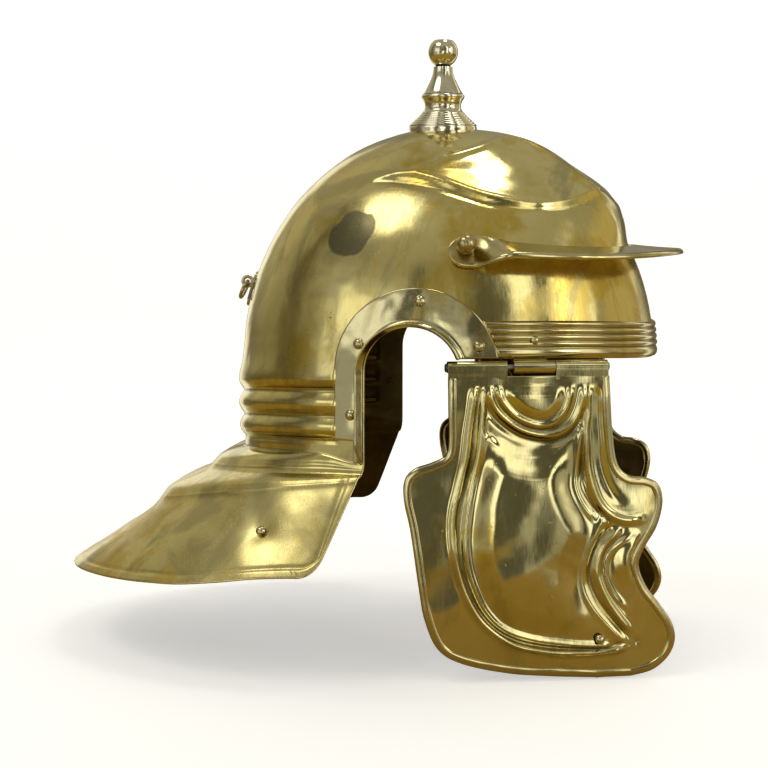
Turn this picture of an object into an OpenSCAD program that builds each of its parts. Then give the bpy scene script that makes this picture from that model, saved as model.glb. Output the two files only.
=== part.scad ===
// Helmet with hinged cheek plates, stepped neck guard and turned crest knob.
// Millimetres. +X is the front, +Y the wearer's left, +Z up.
// The origin is the middle of the bowl in plan, at the height where the bowl is widest, just under its rim.

/* [Bowl] */
// Half the length of the bowl, front to back
bowl_a = 115; // [110:1:120]
// Half the width of the bowl
bowl_b = 94; // [90:1:98]
// Height of the bowl above the head opening
bowl_h = 127; // [122:1:132]
// Thickness of the raised sheet
sheet_t = 1.2; // [1:0.1:1.6]
// Height of the rim above the origin at the temples
rim_side = 6.5; // [5.5:0.5:7.5]
// How far the rim dips from the temples to the forehead
rim_dip = 4.5; // [2:0.5:5]
// Height of the raised eyebrow panels
brow_relief = 2.4; // [1:0.2:3]
// Height of the ribs across the nape
nape_rib_h = 2.4; // [1:0.2:3]

/* [Neck guard] */
// How far the tip of the neck guard lies behind the origin
guard_tip_x = -214.7; // [-219:1:-210]
// Half the width of the neck guard
guard_half_w = 118; // [114:1:122]
// Height of the neck guard's tip
guard_tip_z = -119; // [-122:1:-115]

/* [Ear guards] */
// Radius of the ear opening inside the lip
ear_r = 24; // [23:0.5:25]
// Radius of the strip's outer edge
ear_strip_r = 42; // [40:0.5:43]
// How far the lip stands off the bowl
ear_lip = 11; // [8:0.5:12]

/* [Brow] */
// How far the brow guard stands out at the front
guard_reach = 27; // [22:1:30]
// Thickness of the brow guard
guard_t = 3.2; // [2.5:0.1:3.6]
// Height of the ribbed band above the rim
band_h = 18.5; // [16:0.5:20]

/* [Cheek hinges] */
// Angle between the hinge line and the length of the helmet
hinge_angle = 14.6; // [13:0.2:16]
// Distance of the hinge line from the origin
hinge_off = 98.2; // [98:0.2:99]
// Height of the hinge line
hinge_z = 2; // [1.6:0.1:2.2]
// Radius of the knuckles
knuckle_r = 3.3; // [3:0.1:3.5]
// Radius of the hinge pin
pin_r = 1.5; // [1.3:0.05:1.6]
// Radial clearance of the cheek plate's knuckles on the pin
pin_gap = 0.06; // [0.03:0.01:0.1]
// Width of the folded binding
binding_w = 4.2; // [3.5:0.1:4.6]

/* [Crest knob] */
// Radius of the ball
ball_r = 8.35; // [7.5:0.05:8.8]
// Radius of the hole through the ball
cross_hole_r = 1.25; // [1:0.05:1.5]

/* [Liner] */
// Thickness of the leather
leather_t = 2.4; // [2:0.1:2.6]
// Gap between the leather and the bowl
leather_gap = 2.6; // [2.4:0.1:3]

/* [Hidden] */

brass = "darkkhaki";
pale_brass = "lightgoldenrodyellow";
tan_leather = "saddlebrown";
$fn = 48;

// Ear opening: centre of the arch, and how far the bowl's edge stays behind the lip
ear_x = -10.4;
ear_z = -2.5;
ear_recess = 1.5;
arch_r = ear_r + ear_recess;
leg_x = ear_x - arch_r;
leg_psi = acos(leg_x / bowl_a);
foot_phi = asin((rim_side - ear_z) / arch_r);

// Neck guard: the side of its outline starts here, and its columns run from 0 (middle) to 1 (leg)
guard_side_x = -66;
corner_c = 0.88;
// Radius of the rounded corner and the angle it turns through
corner_r = 16;
corner_turn = 49;
base_z = -51.7;

// ---------- small helpers ----------
function unit(v) = v / norm(v);
function mix(a, b, t) = a + (b - a) * t;
function smooth(t) = let (u = max(0, min(1, t))) u * u * (3 - 2 * u);
function flat(rows) = [for (row = rows) each row];
function quad(p, q, r, s) = [[p, q, r], [p, r, s]];

// Catmull-Rom point at t (0 to 1) along a list of points
function spline(pts, t) =
  let (n = len(pts) - 1, k = min(n - 1, floor(t * n)), u = t * n - k)
  let (p0 = pts[max(0, k - 1)], p1 = pts[k], p2 = pts[k + 1], p3 = pts[min(n, k + 2)])
  0.5 * (2 * p1 + (p2 - p0) * u + (2 * p0 - 5 * p1 + 4 * p2 - p3) * u * u
    + (3 * p1 - p0 - 3 * p2 + p3) * u * u * u);
function curve(pts, n) = [for (i = [0:n]) spline(pts, i / n)];

// Distance from point p to the polyline pts
function seg_dist(p, a, b) =
  let (t = max(0, min(1, ((p - a) * (b - a)) / ((b - a) * (b - a))))) norm(p - a - t * (b - a));
function line_dist(p, pts) = min([for (i = [1:len(pts) - 1]) seg_dist(p, pts[i - 1], pts[i])]);
function crossings(p, pts) =
  len([for (i = [0:len(pts) - 1])
    let (a = pts[i], b = pts[(i + 1) % len(pts)])
    if ((a[1] > p[1]) != (b[1] > p[1]) && p[0] < a[0] + (b[0] - a[0]) * (p[1] - a[1]) / (b[1] - a[1])) i]);
function inside(p, pts) = crossings(p, pts) % 2 == 1;

// Closed sheet between two grids of points. Seen from the first grid's side, its rows run down
// and its columns run to the right
module sheet(front, back) {
  rows = len(front);
  cols = len(front[0]);
  count = rows * cols;
  top = [for (i = [0:rows - 2], j = [0:cols - 2])
    each quad(i * cols + j, i * cols + j + 1, (i + 1) * cols + j + 1, (i + 1) * cols + j)];
  under = [for (f = top) [f[2] + count, f[1] + count, f[0] + count]];
  rim = concat(
    [for (j = [0:cols - 1]) j],
    [for (i = [1:rows - 1]) i * cols + cols - 1],
    [for (j = [cols - 2:-1:0]) (rows - 1) * cols + j],
    [for (i = [rows - 2:-1:1]) i * cols]);
  n = len(rim);
  side = [for (k = [0:n - 1])
    each quad(rim[(k + 1) % n], rim[k], rim[k] + count, rim[(k + 1) % n] + count)];
  polyhedron(concat(flat(front), flat(back)), concat(top, under, side), convexity = 6);
}

// Closed ring: the columns of both grids join up with the first
module ring_sheet(front, back) {
  rows = len(front);
  cols = len(front[0]);
  count = rows * cols;
  top = [for (i = [0:rows - 2], j = [0:cols - 1]) let (k = (j + 1) % cols)
    each quad(i * cols + j, i * cols + k, (i + 1) * cols + k, (i + 1) * cols + j)];
  under = [for (f = top) [f[2] + count, f[1] + count, f[0] + count]];
  last = (rows - 1) * cols;
  side = [for (j = [0:cols - 1]) let (k = (j + 1) % cols)
    each concat(quad(k, j, j + count, k + count),
      quad(last + j, last + k, last + k + count, last + j + count))];
  polyhedron(concat(flat(front), flat(back)), concat(top, under, side), convexity = 6);
}

// ---------- bowl surface ----------
function girth(z) = sqrt(1 - pow(max(z, 0) / bowl_h, 2));

// Point of the right side of the bowl at x, z, raised by q along the surface normal
function skin_normal(x, y, z) =
  unit([x / pow(bowl_a, 2), y / pow(bowl_b, 2), max(z, 0) / pow(bowl_h, 2)]);
function skin_y(x, z) = -bowl_b * sqrt(max(0, pow(girth(z), 2) - pow(x / bowl_a, 2)));
function skin_dir(x, z) = skin_normal(x, skin_y(x, z), z);
function skin(x, z, q) = [x, skin_y(x, z), z] + q * skin_dir(x, z);
// Point at angle psi (0 is the front, 180 the back) and height z
function round_skin(psi, z, q) =
  let (p = [bowl_a * girth(z) * cos(psi), bowl_b * girth(z) * sin(psi), z])
  p + q * skin_normal(p[0], p[1], p[2]);
function rim_z(psi) = rim_side - rim_dip * pow(max(0, cos(psi)), 4);

// Eyebrow panel: upper and lower edge as latitude against angle from the front
brow_top = [[12, 61], [20, 65], [31, 67], [57, 65], [77, 61], [93, 57], [105, 51]];
brow_low = [[12, 44], [32, 42], [46, 40.6], [60, 41], [80, 45], [98, 49.5], [105, 51]];
brow_start = 21;
mm_per_deg = 1.9;
function brow_depth(psi, lat) = mm_per_deg *
  min(lookup(psi, brow_top) - lat, lat - lookup(psi, brow_low), (psi - brow_start) * cos(lat), 105 - psi);
function brow_height(psi, lat) =
  let (d = brow_depth(psi, lat))
  brow_relief * (0.6 * smooth((d + 3) / 6) + 0.7 * exp(-pow(d / 4, 2)));
// The forehead is fuller than the back of the skull
function forehead(psi, lat) =
  3.2 * smooth((lat - 30) / 14) * smooth((86 - lat) / 26) * smooth((80 - psi) / 60)
    + 3.8 * smooth((lat - 28.5) / 7.5) * smooth((54 - lat) / 12) * smooth((38 - psi) / 20);

// Ribs across the nape rise towards the ears and fade out before the ear guards
nape_ribs = [-14.5, -28, -41];
function nape_fade(x) = smooth((-54 - x) / 8);
function nape_rise(x) = 0.11 * bowl_b * sqrt(max(0, 1 - pow(x / bowl_a, 2)));
function nape_height(x, z) =
  let (level = z - nape_rise(x))
  nape_fade(x) * (sin(180 * max(0, min(1, (8 - level) / 60)))
    + nape_rib_h * max([for (r = nape_ribs) exp(-pow((level - r) / 3.4, 2))]));

// ---------- neck guard surface ----------
// Foot and outer edge rise towards the ears; at the corner the foot dips and the edge lifts
base_rise = 0.08 * bowl_b;
base_dip = 5;
edge_rise = 10;
edge_end_rise = 7.5;
corner_lift = 9;
// Heights of the foot of both steps and their shares of the way to the edge, at the rear and at the sides
step_z_rear = [-64, -87.4];
step_z_side = [-54, -58.4];
step_frac_rear = [0.196, 0.51];
step_frac_side = [0.02, 0.18];
function guard_base(c) =
  let (psi = 180 - c * (180 - leg_psi))
  let (z = base_z + base_rise * sin(psi) - base_dip * smooth((c - 0.8) / 0.2))
  round_skin(psi, z, nape_height(bowl_a * cos(psi), z));
function edge_z(v) = guard_tip_z + edge_rise * (sqrt(v * v + 0.04) - 0.2) + edge_end_rise * pow(v, 16);
function guard_edge(c) =
  let (tau = 90 * min(1, c / corner_c), k = max(0, (c - corner_c) / (1 - corner_c)), v = sin(tau))
  [mix(guard_side_x, guard_tip_x, cos(tau)) + corner_r * sin(corner_turn * k),
    guard_half_w * v - corner_r * (1 - cos(corner_turn * k)), edge_z(v) + corner_lift * k * k];
function step_frac(c) = [
  mix(step_frac_rear[0], step_frac_side[0], c * c),
  mix(step_frac_rear[1], step_frac_side[1], pow(c, 1.5))];
function step_z(c) = let (u = pow(c, 0.85)) [
  mix(step_z_rear[0], step_z_side[0], smooth(pow(c, 0.8))),
  mix(step_z_rear[1], step_z_side[1], (u + smooth(u)) / 2)];
// Fall of a rounded step: u is the way along it, and both run from 0 to 1
function fall(u, straight, power) = straight * u + (1 - straight) * (1 - sqrt(1 - pow(min(1, u), power)));
// Height at w, the share of the way from the nape to the outer edge
function guard_z(c, w) =
  let (f = step_frac(c), s = step_z(c), b = guard_base(c)[2], e = guard_edge(c)[2])
  w < f[0] ? mix(b, s[0], fall(w / f[0], 0.45, 3)) :
  w < f[1] ? mix(s[0], s[1], fall((w - f[0]) / (f[1] - f[0]), 0.6, 6)) :
  mix(s[1], e, (w - f[1]) / (1 - f[1]));
function guard_point(c, w) =
  let (b = guard_base(c), e = guard_edge(c)) [mix(b[0], e[0], w), mix(b[1], e[1], w), guard_z(c, w)];
function guard_normal(c, w) = unit(cross(
  guard_point(c, w + 0.01) - guard_point(c, w - 0.01), guard_point(c - 0.01, w) - guard_point(c + 0.01, w)));

// ---------- bowl mesh ----------
crown_lats = [84, 78, 72, 67, 62, 57, 52, 47, 42, 36, 30, 24.5];
break_z = 42;
low_rows = 6;
nape_rows = 18;
front_cells = 13;
ear_cells = 10;
rear_cells = 14;
foot_psi = acos((ear_x + arch_r * cos(foot_phi)) / (bowl_a * girth(rim_side)));

// Half of the columns, as [angle, height of the lower edge]
half_cols = concat(
  [for (k = [0:front_cells - 1]) let (psi = foot_psi * k / front_cells) [psi, rim_z(psi)]],
  [for (k = [0:ear_cells - 1])
    let (phi = mix(foot_phi, 180, k / ear_cells))
    let (x = ear_x + arch_r * cos(phi), z = ear_z + arch_r * sin(phi))
    [acos(x / (bowl_a * girth(z))), z]],
  [for (k = [0:rear_cells]) [mix(leg_psi, 180, k / rear_cells), ear_z]]);
cols = concat(half_cols, [for (k = [len(half_cols) - 2:-1:1]) [360 - half_cols[k][0], half_cols[k][1]]]);
col_count = len(cols);

function folded(psi) = psi > 180 ? 360 - psi : psi;
function is_rear(j) = folded(cols[j][0]) >= leg_psi - 0.001;
function relief(psi, lat) = let (f = folded(psi)) brow_height(f, lat) + forehead(f, lat);
function crown_point(psi, lat) = round_skin(psi, bowl_h * sin(lat), relief(psi, lat));
function side_point(psi, z) =
  round_skin(psi, z, z > 0 ? relief(psi, asin(z / bowl_h)) + nape_height(bowl_a * cos(psi), z) :
    nape_height(bowl_a * cos(psi), z));
function mirrored(p, psi) = psi > 180 ? [p[0], -p[1], p[2]] : p;

// Shares of the way across the neck guard: five rows on each step, four on the flat
function guard_shares(c) = let (f = step_frac(c)) concat(
  [for (k = [1:5]) f[0] * sin(18 * k)],
  [for (k = [1:5]) mix(f[0], f[1], sin(18 * k))],
  [for (k = [1:4]) mix(f[1], 1, k / 4)]);

function column(j) =
  let (psi = cols[j][0], c = (180 - folded(psi)) / (180 - leg_psi), edge = cols[j][1])
  concat(
    [for (lat = crown_lats) crown_point(psi, lat)],
    [for (k = [0:low_rows]) side_point(psi, mix(break_z, edge, k / low_rows))],
    is_rear(j) ? concat(
      [for (k = [1:nape_rows]) side_point(psi, mix(ear_z, guard_base(c)[2], k / nape_rows))],
      [for (w = guard_shares(c)) mirrored(guard_point(c, w), psi)]) : []);

grid = [for (j = [0:col_count - 1]) column(j)];
function grid_at(j, i) = let (col = grid[(j + col_count) % col_count]) i < len(col) ? col[i] : undef;
function grid_normal(j, i) =
  let (here = grid[j][i], col = grid[j])
  let (down = col[min(i + 1, len(col) - 1)] - col[max(i - 1, 0)])
  let (next = grid_at(j + 1, i), prev = grid_at(j - 1, i))
  unit(cross(down, (next == undef ? here : next) - (prev == undef ? here : prev)));

module bowl_sheet() {
  // Index of the first point of every column
  sizes = [for (col = grid) len(col)];
  starts = [for (j = 0, s = 1; j < col_count; s = s + sizes[j], j = j + 1) s];
  count = starts[col_count - 1] + sizes[col_count - 1];
  outer = concat([[0, 0, bowl_h]], flat(grid));
  inner = concat([[0, 0, bowl_h - sheet_t]],
    [for (j = [0:col_count - 1], i = [0:sizes[j] - 1]) grid[j][i] - sheet_t * grid_normal(j, i)]);
  top = [for (j = [0:col_count - 1])
    let (k = (j + 1) % col_count, last = min(sizes[j], sizes[k]) - 1)
    each concat(
      [[0, starts[k], starts[j]]],
      [for (i = [0:last - 1])
        each quad(starts[j] + i, starts[k] + i, starts[k] + i + 1, starts[j] + i + 1)])];
  under = [for (f = top) [f[2] + count, f[1] + count, f[0] + count]];
  // The free edge: along the bottom of each pair of columns, and up the legs where they differ
  below = [for (j = [0:col_count - 1])
    let (k = (j + 1) % col_count, last = min(sizes[j], sizes[k]) - 1)
    [starts[j] + last, starts[k] + last]];
  legs = [for (j = [0:col_count - 1])
    let (k = (j + 1) % col_count, lo = min(sizes[j], sizes[k]) - 1, hi = max(sizes[j], sizes[k]) - 1)
    if (lo < hi) each [for (i = [lo:hi - 1])
      sizes[k] > sizes[j] ? [starts[k] + i, starts[k] + i + 1] : [starts[j] + i + 1, starts[j] + i]]];
  side = [for (e = concat(below, legs)) each quad(e[0], e[1], e[1] + count, e[0] + count)];
  polyhedron(concat(outer, inner), concat(top, under, side), convexity = 10);
}

// ---------- fasteners ----------
// Turns +Z to the direction d and moves to p
module stand(p, d) {
  translate(p) rotate([0, acos(d[2]), atan2(d[1], d[0])]) children();
}

module dome(r, h) {
  big = (r * r + h * h) / (2 * h);
  intersection() {
    translate([0, 0, h - big]) sphere(r = big);
    cylinder(r = r, h = h);
  }
}

module rivet(head_r, head_h, shank_r, grip, tail_r, tail_h) {
  dome(head_r, head_h);
  translate([0, 0, -grip - tail_h]) cylinder(r = shank_r, h = grip + tail_h + head_h / 2);
  translate([0, 0, -grip - tail_h]) cylinder(r = tail_r, h = tail_h);
}

hole_gap = 0.15;
module hole(r, len = 12) {
  translate([0, 0, -len / 2]) cylinder(r = r + hole_gap, h = len);
}

module both() {
  children();
  mirror([0, 1, 0]) children();
}

// Places of the rivets on the right side, as x and z on the bowl
ear_rivet_places = [[-42.2, -23.9], [-37.8, 12.9], [-6.4, 34.9], [23.6, 12.4]];
ear_rivet_r = 1.3;
hinge_rivet_place = [50.9, 15.2];
hinge_rivet_r = 1.2;
stud_place = [15.8, 60.6];
stud_r = 1.8;
knob_x = -3;
knob_stud_r = 3;
staple_z = 39.5;
staple_r = 1.2;
// Place of the neck ties, across and along the neck guard
tie_c = 0.75;
tie_w = 0.62;
tie_shank_r = 1.2;

module on_skin(place, q) {
  stand(skin(place[0], place[1], q), skin_dir(place[0], place[1])) children();
}

module bowl_holes() {
  both() {
    for (p = ear_rivet_places) on_skin(p, 0) hole(ear_rivet_r);
    on_skin(hinge_rivet_place, 0) hole(hinge_rivet_r);
    on_skin(stud_place, 0) hole(stud_r);
    stand(guard_point(tie_c, tie_w), guard_normal(tie_c, tie_w)) hole(tie_shank_r);
  }
  translate([knob_x, 0, bowl_h]) hole(knob_stud_r);
  back_frame() hole(staple_r, 16);
}

module bowl() {
  color(brass) difference() {
    bowl_sheet();
    bowl_holes();
  }
}

// ---------- crest knob ----------
knob_profile = [
  [0, 122], [18.5, 122], [18.9, 126.9], [17.9, 128], [18.1, 128.6], [17.0, 129.4], [17.1, 130], [15.3, 130.6],
  [15.4, 131.8], [13.4, 132.4], [13.5, 133.4], [12.3, 134], [12.3, 135.4], [11.1, 136.2], [10.3, 138.2],
  [10.4, 140.4], [11.2, 142.4], [12.0, 143.4], [12.0, 144.8], [10.7, 145.8], [8.4, 150.4], [6.6, 155],
  [5.5, 158.6], [5.4, 160.6], [6.9, 161.2], [0, 161.2]
];
ball_z = 168.4;
// Gap between the knob's foot and the bowl
knob_gap = 0.4;

module crest_knob() {
  color(pale_brass) translate([knob_x, 0, 0]) difference() {
    union() {
      difference() {
        rotate_extrude($fn = 96) polygon(knob_profile);
        translate([-knob_x, 0, 0]) scale([bowl_a, bowl_b, bowl_h] + knob_gap * [1, 1, 1])
          rotate([90, 0, 0]) sphere(r = 1, $fn = 128);
      }
      intersection() {
        translate([0, 0, ball_z]) sphere(r = ball_r, $fn = 64);
        translate([0, 0, 161]) cylinder(r = 20, h = 14.1);
      }
      translate([0, 0, 114]) cylinder(r = knob_stud_r, h = 18);
    }
    translate([0, 30, ball_z + 0.6]) rotate([90, 0, 0]) cylinder(r = cross_hole_r, h = 60);
  }
}

washer_top = 125.1;
module knob_washer() {
  color(brass) translate([knob_x, 0, washer_top - 1.4]) difference() {
    cylinder(r = 8, h = 1.4);
    translate([0, 0, -1]) cylinder(r = knob_stud_r + 0.2, h = 4);
  }
}

module knob_nut() {
  color(pale_brass) translate([knob_x, 0, washer_top - 6.5]) difference() {
    cylinder(r = 5.8, h = 5, $fn = 6);
    translate([0, 0, -1]) cylinder(r = knob_stud_r + 0.02, h = 8);
  }
}

// ---------- brow guard ----------
guard_z_side = 59.4;
guard_z_front = 54.5;
tab_psi = 81.2;
tab_end_psi = 86;
tab_w = 17;
guard_rows = 26;
plate_gap = 0.5;
// Frame of the guard at psi: point on the bowl, outward normal and up along the surface
function guard_level(psi) = mix(guard_z_front, guard_z_side, pow(sin(psi), 6));
function guard_twist(psi) = min(90, 34 * pow(psi / 76, 1.8) + 56 * smooth((psi - 72) / 6));
function guard_width(psi) =
  let (w = mix(guard_reach, tab_w, smooth(psi / 76)))
  psi <= tab_psi ? w : w * sqrt(max(0.04, 1 - pow((psi - tab_psi) / (tab_end_psi - tab_psi), 2)));
// v runs from 0 at the bowl (or the tab's lower edge) to 1 at the free edge, side is 1 above and -1 below
function guard_point3(psi, v, side) =
  let (a = abs(psi), z = guard_level(a), s = round_skin(a, z, 0), n = skin_normal(s[0], s[1], s[2]))
  let (up = unit([0, 0, 1] - n[2] * n), tw = guard_twist(a), w = guard_width(a))
  let (flat_n = unit([n[0], n[1], mix(-0.07, n[2], tw / 90)]), across = cos(tw) * flat_n - sin(tw) * up)
  let (thick = unit(sin(tw) * n + cos(tw) * up), t = guard_t * (abs(v - 0.5) > 0.49 ? 0.22 : 0.5))
  let (lift = plate_gap + w / 2 * cos(tw) + guard_t / 2 * sin(tw) + 1.2 * sin(2 * tw))
  let (p = s + lift * n + (v - 0.5) * w * across + side * t * thick)
  psi < 0 ? [p[0], -p[1], p[2]] : p;
guard_vs = [0, 0.07, 0.35, 0.65, 0.93, 1];

module brow_guard() {
  psis = [for (k = [-guard_rows:guard_rows])
    let (u = k / guard_rows) tab_end_psi * (1.25 * u - 0.25 * u * abs(u))];
  color(brass) difference() {
    sheet(
      [for (psi = psis) [for (v = guard_vs) guard_point3(psi, v, 1)]],
      [for (psi = psis) [for (v = guard_vs) guard_point3(psi, v, -1)]]);
    both() on_skin(stud_place, 0) hole(stud_r, 16);
  }
}

stud_ball_r = 5.2;
// The ball stands this far off the guard's tab
stud_lift = 0.35;
stud_seat = plate_gap + guard_t + 0.1;
module brow_guard_studs() {
  inner = sheet_t + leather_gap + leather_t + 2.2;
  color(pale_brass) both() on_skin(stud_place, stud_seat) {
    translate([0, 0, stud_lift + sqrt(stud_ball_r * stud_ball_r - stud_r * stud_r)]) sphere(r = stud_ball_r);
    translate([0, 0, -stud_seat - inner]) cylinder(r = stud_r, h = inner + 8);
    translate([0, 0, -stud_seat - inner - 1]) cylinder(r = 2.8, h = 1.1);
  }
}

module stud_washers() {
  color(brass) both() on_skin(stud_place, -sheet_t - leather_gap - leather_t - 1.9) difference() {
    cylinder(r = 5, h = 1.2);
    translate([0, 0, -1]) cylinder(r = stud_r + 0.1, h = 4);
  }
}

// ---------- ribbed band ----------
band_cols = 13;
// Height of the band's face above the bowl: four half-round ribs above one broad rib
function band_relief(v) =
  v < 0.28 ? 1.2 + 0.9 * sin(180 * v / 0.28) :
  1.2 + 1.0 * sin(180 * ((v - 0.28) / 0.18 - floor((v - 0.28) / 0.18)));
function band_end(z) = acos((-8.5 + sqrt(pow(ear_strip_r + 0.7, 2) - pow(z + 1, 2))) / (bowl_a * girth(z)));
function band_point(u, v, q) =
  let (end = band_end(rim_side + band_h * v), psi = end * u)
  let (p = round_skin(abs(psi), rim_z(psi) + band_h * v + 0.1, q))
  psi < 0 ? [p[0], -p[1], p[2]] : p;
band_vs = [for (k = [0:3]) 0.28 * k / 3];
band_ribs = [for (r = [0:3], k = [1:3]) 0.28 + 0.18 * r + 0.18 * k / 3];

module brow_band() {
  vs = concat(band_vs, band_ribs);
  us = [for (k = [band_cols:-1:-band_cols]) k / band_cols];
  color(brass) difference() {
    sheet(
      [for (u = us) [for (v = vs) band_point(u, v, band_relief(min(v, 0.9999)))]],
      [for (u = us) [for (v = vs) band_point(u, v, 0.35)]]);
    both() on_skin(hinge_rivet_place, 0) hole(hinge_rivet_r);
  }
}

// ---------- ear guards ----------
strip_x = -8.5;
strip_z = -1;
strip_end_z = -37;
lip_end_z = -48.5;
ear_gap = 0.2;
strip_front_phi = asin((rim_side + 0.2 - strip_z) / ear_strip_r);
lip_front_phi = asin((rim_side + 0.2 - ear_z) / ear_r);
arc_steps = 16;
// Stations as [outer x, outer z, inner x, inner z, lip height]
ear_stations = concat(
  [for (k = [0:arc_steps])
    let (po = mix(strip_front_phi, 180, k / arc_steps), pi = mix(lip_front_phi, 180, k / arc_steps))
    [strip_x + ear_strip_r * cos(po), strip_z + ear_strip_r * sin(po),
      ear_x + ear_r * cos(pi), ear_z + ear_r * sin(pi), ear_lip]],
  [for (k = [1:4])
    let (z = mix(ear_z, strip_end_z, k / 4)) [strip_x - ear_strip_r, z, ear_x - ear_r, z, ear_lip]],
  [for (k = [0:3])
    let (z = mix(strip_end_z - 0.05, lip_end_z, k / 3))
    [ear_x - ear_r - 5, z, ear_x - ear_r, z, mix(ear_lip, 4, pow(k / 3, 2))]]);
// Section as [distance from the strip's inner edge, height above the bowl] for the two faces
flare = 4;
function section_front(w, lip) = concat(
  [for (t = [1, 0.66, 0.33]) [flare + sheet_t + (w - flare - sheet_t) * t, sheet_t + ear_gap]],
  [for (a = [0:30:90]) [sheet_t + flare - flare * sin(a), sheet_t + ear_gap + flare * (1 - cos(a))]],
  [[sheet_t, ear_gap + max(lip, flare + sheet_t + 0.1)]]);
function section_back(w, lip) = concat(
  [for (t = [1, 0.66, 0.33]) [flare + sheet_t + (w - flare - sheet_t) * t, ear_gap]],
  [for (a = [0:30:90])
    let (r = flare + sheet_t) [sheet_t + flare - r * sin(a), ear_gap + r * (1 - cos(a))]],
  [[0, ear_gap + max(lip, flare + sheet_t + 0.1)]]);
function strip_w(st) = norm([st[0] - st[2], st[1] - st[3]]);
function ear_point(st, pq) =
  let (d = [st[2], st[3]] + [st[0] - st[2], st[1] - st[3]] * pq[0] / strip_w(st)) skin(d[0], d[1], pq[1]);

module ear_guard() {
  color(brass) difference() {
    sheet(
      [for (st = ear_stations) [for (p = section_front(strip_w(st), st[4])) ear_point(st, p)]],
      [for (st = ear_stations) [for (p = section_back(strip_w(st), st[4])) ear_point(st, p)]]);
    for (p = ear_rivet_places) on_skin(p, 0) hole(ear_rivet_r, 8);
  }
}

module ear_guard_right() {
  ear_guard();
}

module ear_guard_left() {
  mirror([0, 1, 0]) ear_guard();
}

module ear_guard_rivets() {
  seat = sheet_t + ear_gap + 0.15;
  color(pale_brass) both() for (p = ear_rivet_places)
    on_skin(p, seat) rivet(2.9, 1.9, ear_rivet_r, seat + sheet_t + 0.4, 2.2, 0.9);
}

// ---------- cheek hinges ----------
// Frame of the right hinge: x forward along the pin, y away from the head, z up
module hinge_frame() {
  rotate([0, 0, hinge_angle]) translate([0, -hinge_off, hinge_z]) mirror([0, 1, 0]) children();
}

rear_knuckle = [-17, 13.2];
mid_knuckle = [16.8, 38];
front_knuckle = [38.4, 65.5];

module barrel(span, bore) {
  translate([span[0], 0, 0]) rotate([0, 90, 0]) difference() {
    cylinder(r = knuckle_r, h = span[1] - span[0]);
    translate([0, 0, -1]) cylinder(r = bore, h = span[1] - span[0] + 2);
  }
}

// The leaf goes under the bowl's rim and up inside the bowl
leaf_in = -7.9;
leaf_x = 19;
leaf_w = 17;
leaf_h = 20;
module hinge_leaf() {
  color(brass) difference() {
    hinge_frame() {
      barrel(mid_knuckle, pin_r + 0.01);
      translate([leaf_x, leaf_in - sheet_t, -sheet_t / 2]) cube([leaf_w, sheet_t - leaf_in - 2.3, sheet_t]);
      translate([leaf_x, leaf_in - sheet_t, -sheet_t / 2]) cube([leaf_w, sheet_t, leaf_h]);
    }
    on_skin(hinge_rivet_place, 0) hole(hinge_rivet_r + 0.2, 20);
  }
}

module hinge_leaf_right() {
  hinge_leaf();
}

module hinge_leaf_left() {
  mirror([0, 1, 0]) hinge_leaf();
}

module hinge_rivets() {
  // On top of the band's lowest rib, and on through the bowl and the leaf behind it
  seat = 2.35;
  through = 6.2;
  color(pale_brass) both() on_skin(hinge_rivet_place, seat)
    rivet(2.3, 1.5, hinge_rivet_r, seat + through, 2.1, 0.9);
}

pin_span = [-18.2, 66.4];
module hinge_pin() {
  color(pale_brass) hinge_frame() {
    translate([pin_span[0], 0, 0]) rotate([0, 90, 0]) cylinder(r = pin_r, h = pin_span[1] - pin_span[0]);
    translate([pin_span[0], 0, 0]) rotate([0, 90, 0]) cylinder(r = 2.1, h = 1);
    translate([pin_span[1] - 0.6, 0, 0]) rotate([0, 90, 0]) cylinder(r = 1.9, h = 0.6);
  }
}

module hinge_pin_right() {
  hinge_pin();
}

module hinge_pin_left() {
  mirror([0, 1, 0]) hinge_pin();
}

// ---------- cheek plates ----------
// Outline of the bound plate in the plane of the hinge: rear edge and front edge, top to bottom
rear_edge = [
  [-17, -4.8], [-16.8, -20], [-16.4, -37], [-18, -44.4], [-25, -47.9], [-33.5, -50.8], [-38.6, -56.5],
  [-39, -67], [-35.5, -84], [-31.4, -112], [-28.3, -129], [-21.5, -144.5], [-9, -152.6], [15, -158.5],
  [38, -160.9], [62, -162.4]
];
front_edge = [
  [66.3, -4.8], [67, -18], [68.5, -34], [71.4, -49.8], [77.5, -56.4], [86.5, -57.8], [93.5, -61.5],
  [96, -70.5], [93.2, -83.2], [86.5, -95], [83.8, -103.5], [87.7, -114.3], [95.2, -124.3], [102, -134.3],
  [104, -143.5], [100.5, -152.5], [92, -159.5], [80, -162.4]
];
edge_rows = 34;
plate_cols = 20;
edge_left = curve(rear_edge, edge_rows);
edge_right = curve(front_edge, edge_rows);
outline = concat(edge_left, [for (i = [edge_rows:-1:0]) edge_right[i]]);

// Outline moved inwards by d; the ends of the list are the top corners and move straight in
function inward(k) =
  let (n = len(outline), t = outline[min(n - 1, k + 1)] - outline[max(0, k - 1)]) unit([-t[1], t[0]]);
function inset(d) = [for (k = [0:len(outline) - 1]) outline[k] + d * inward(k)];

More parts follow.
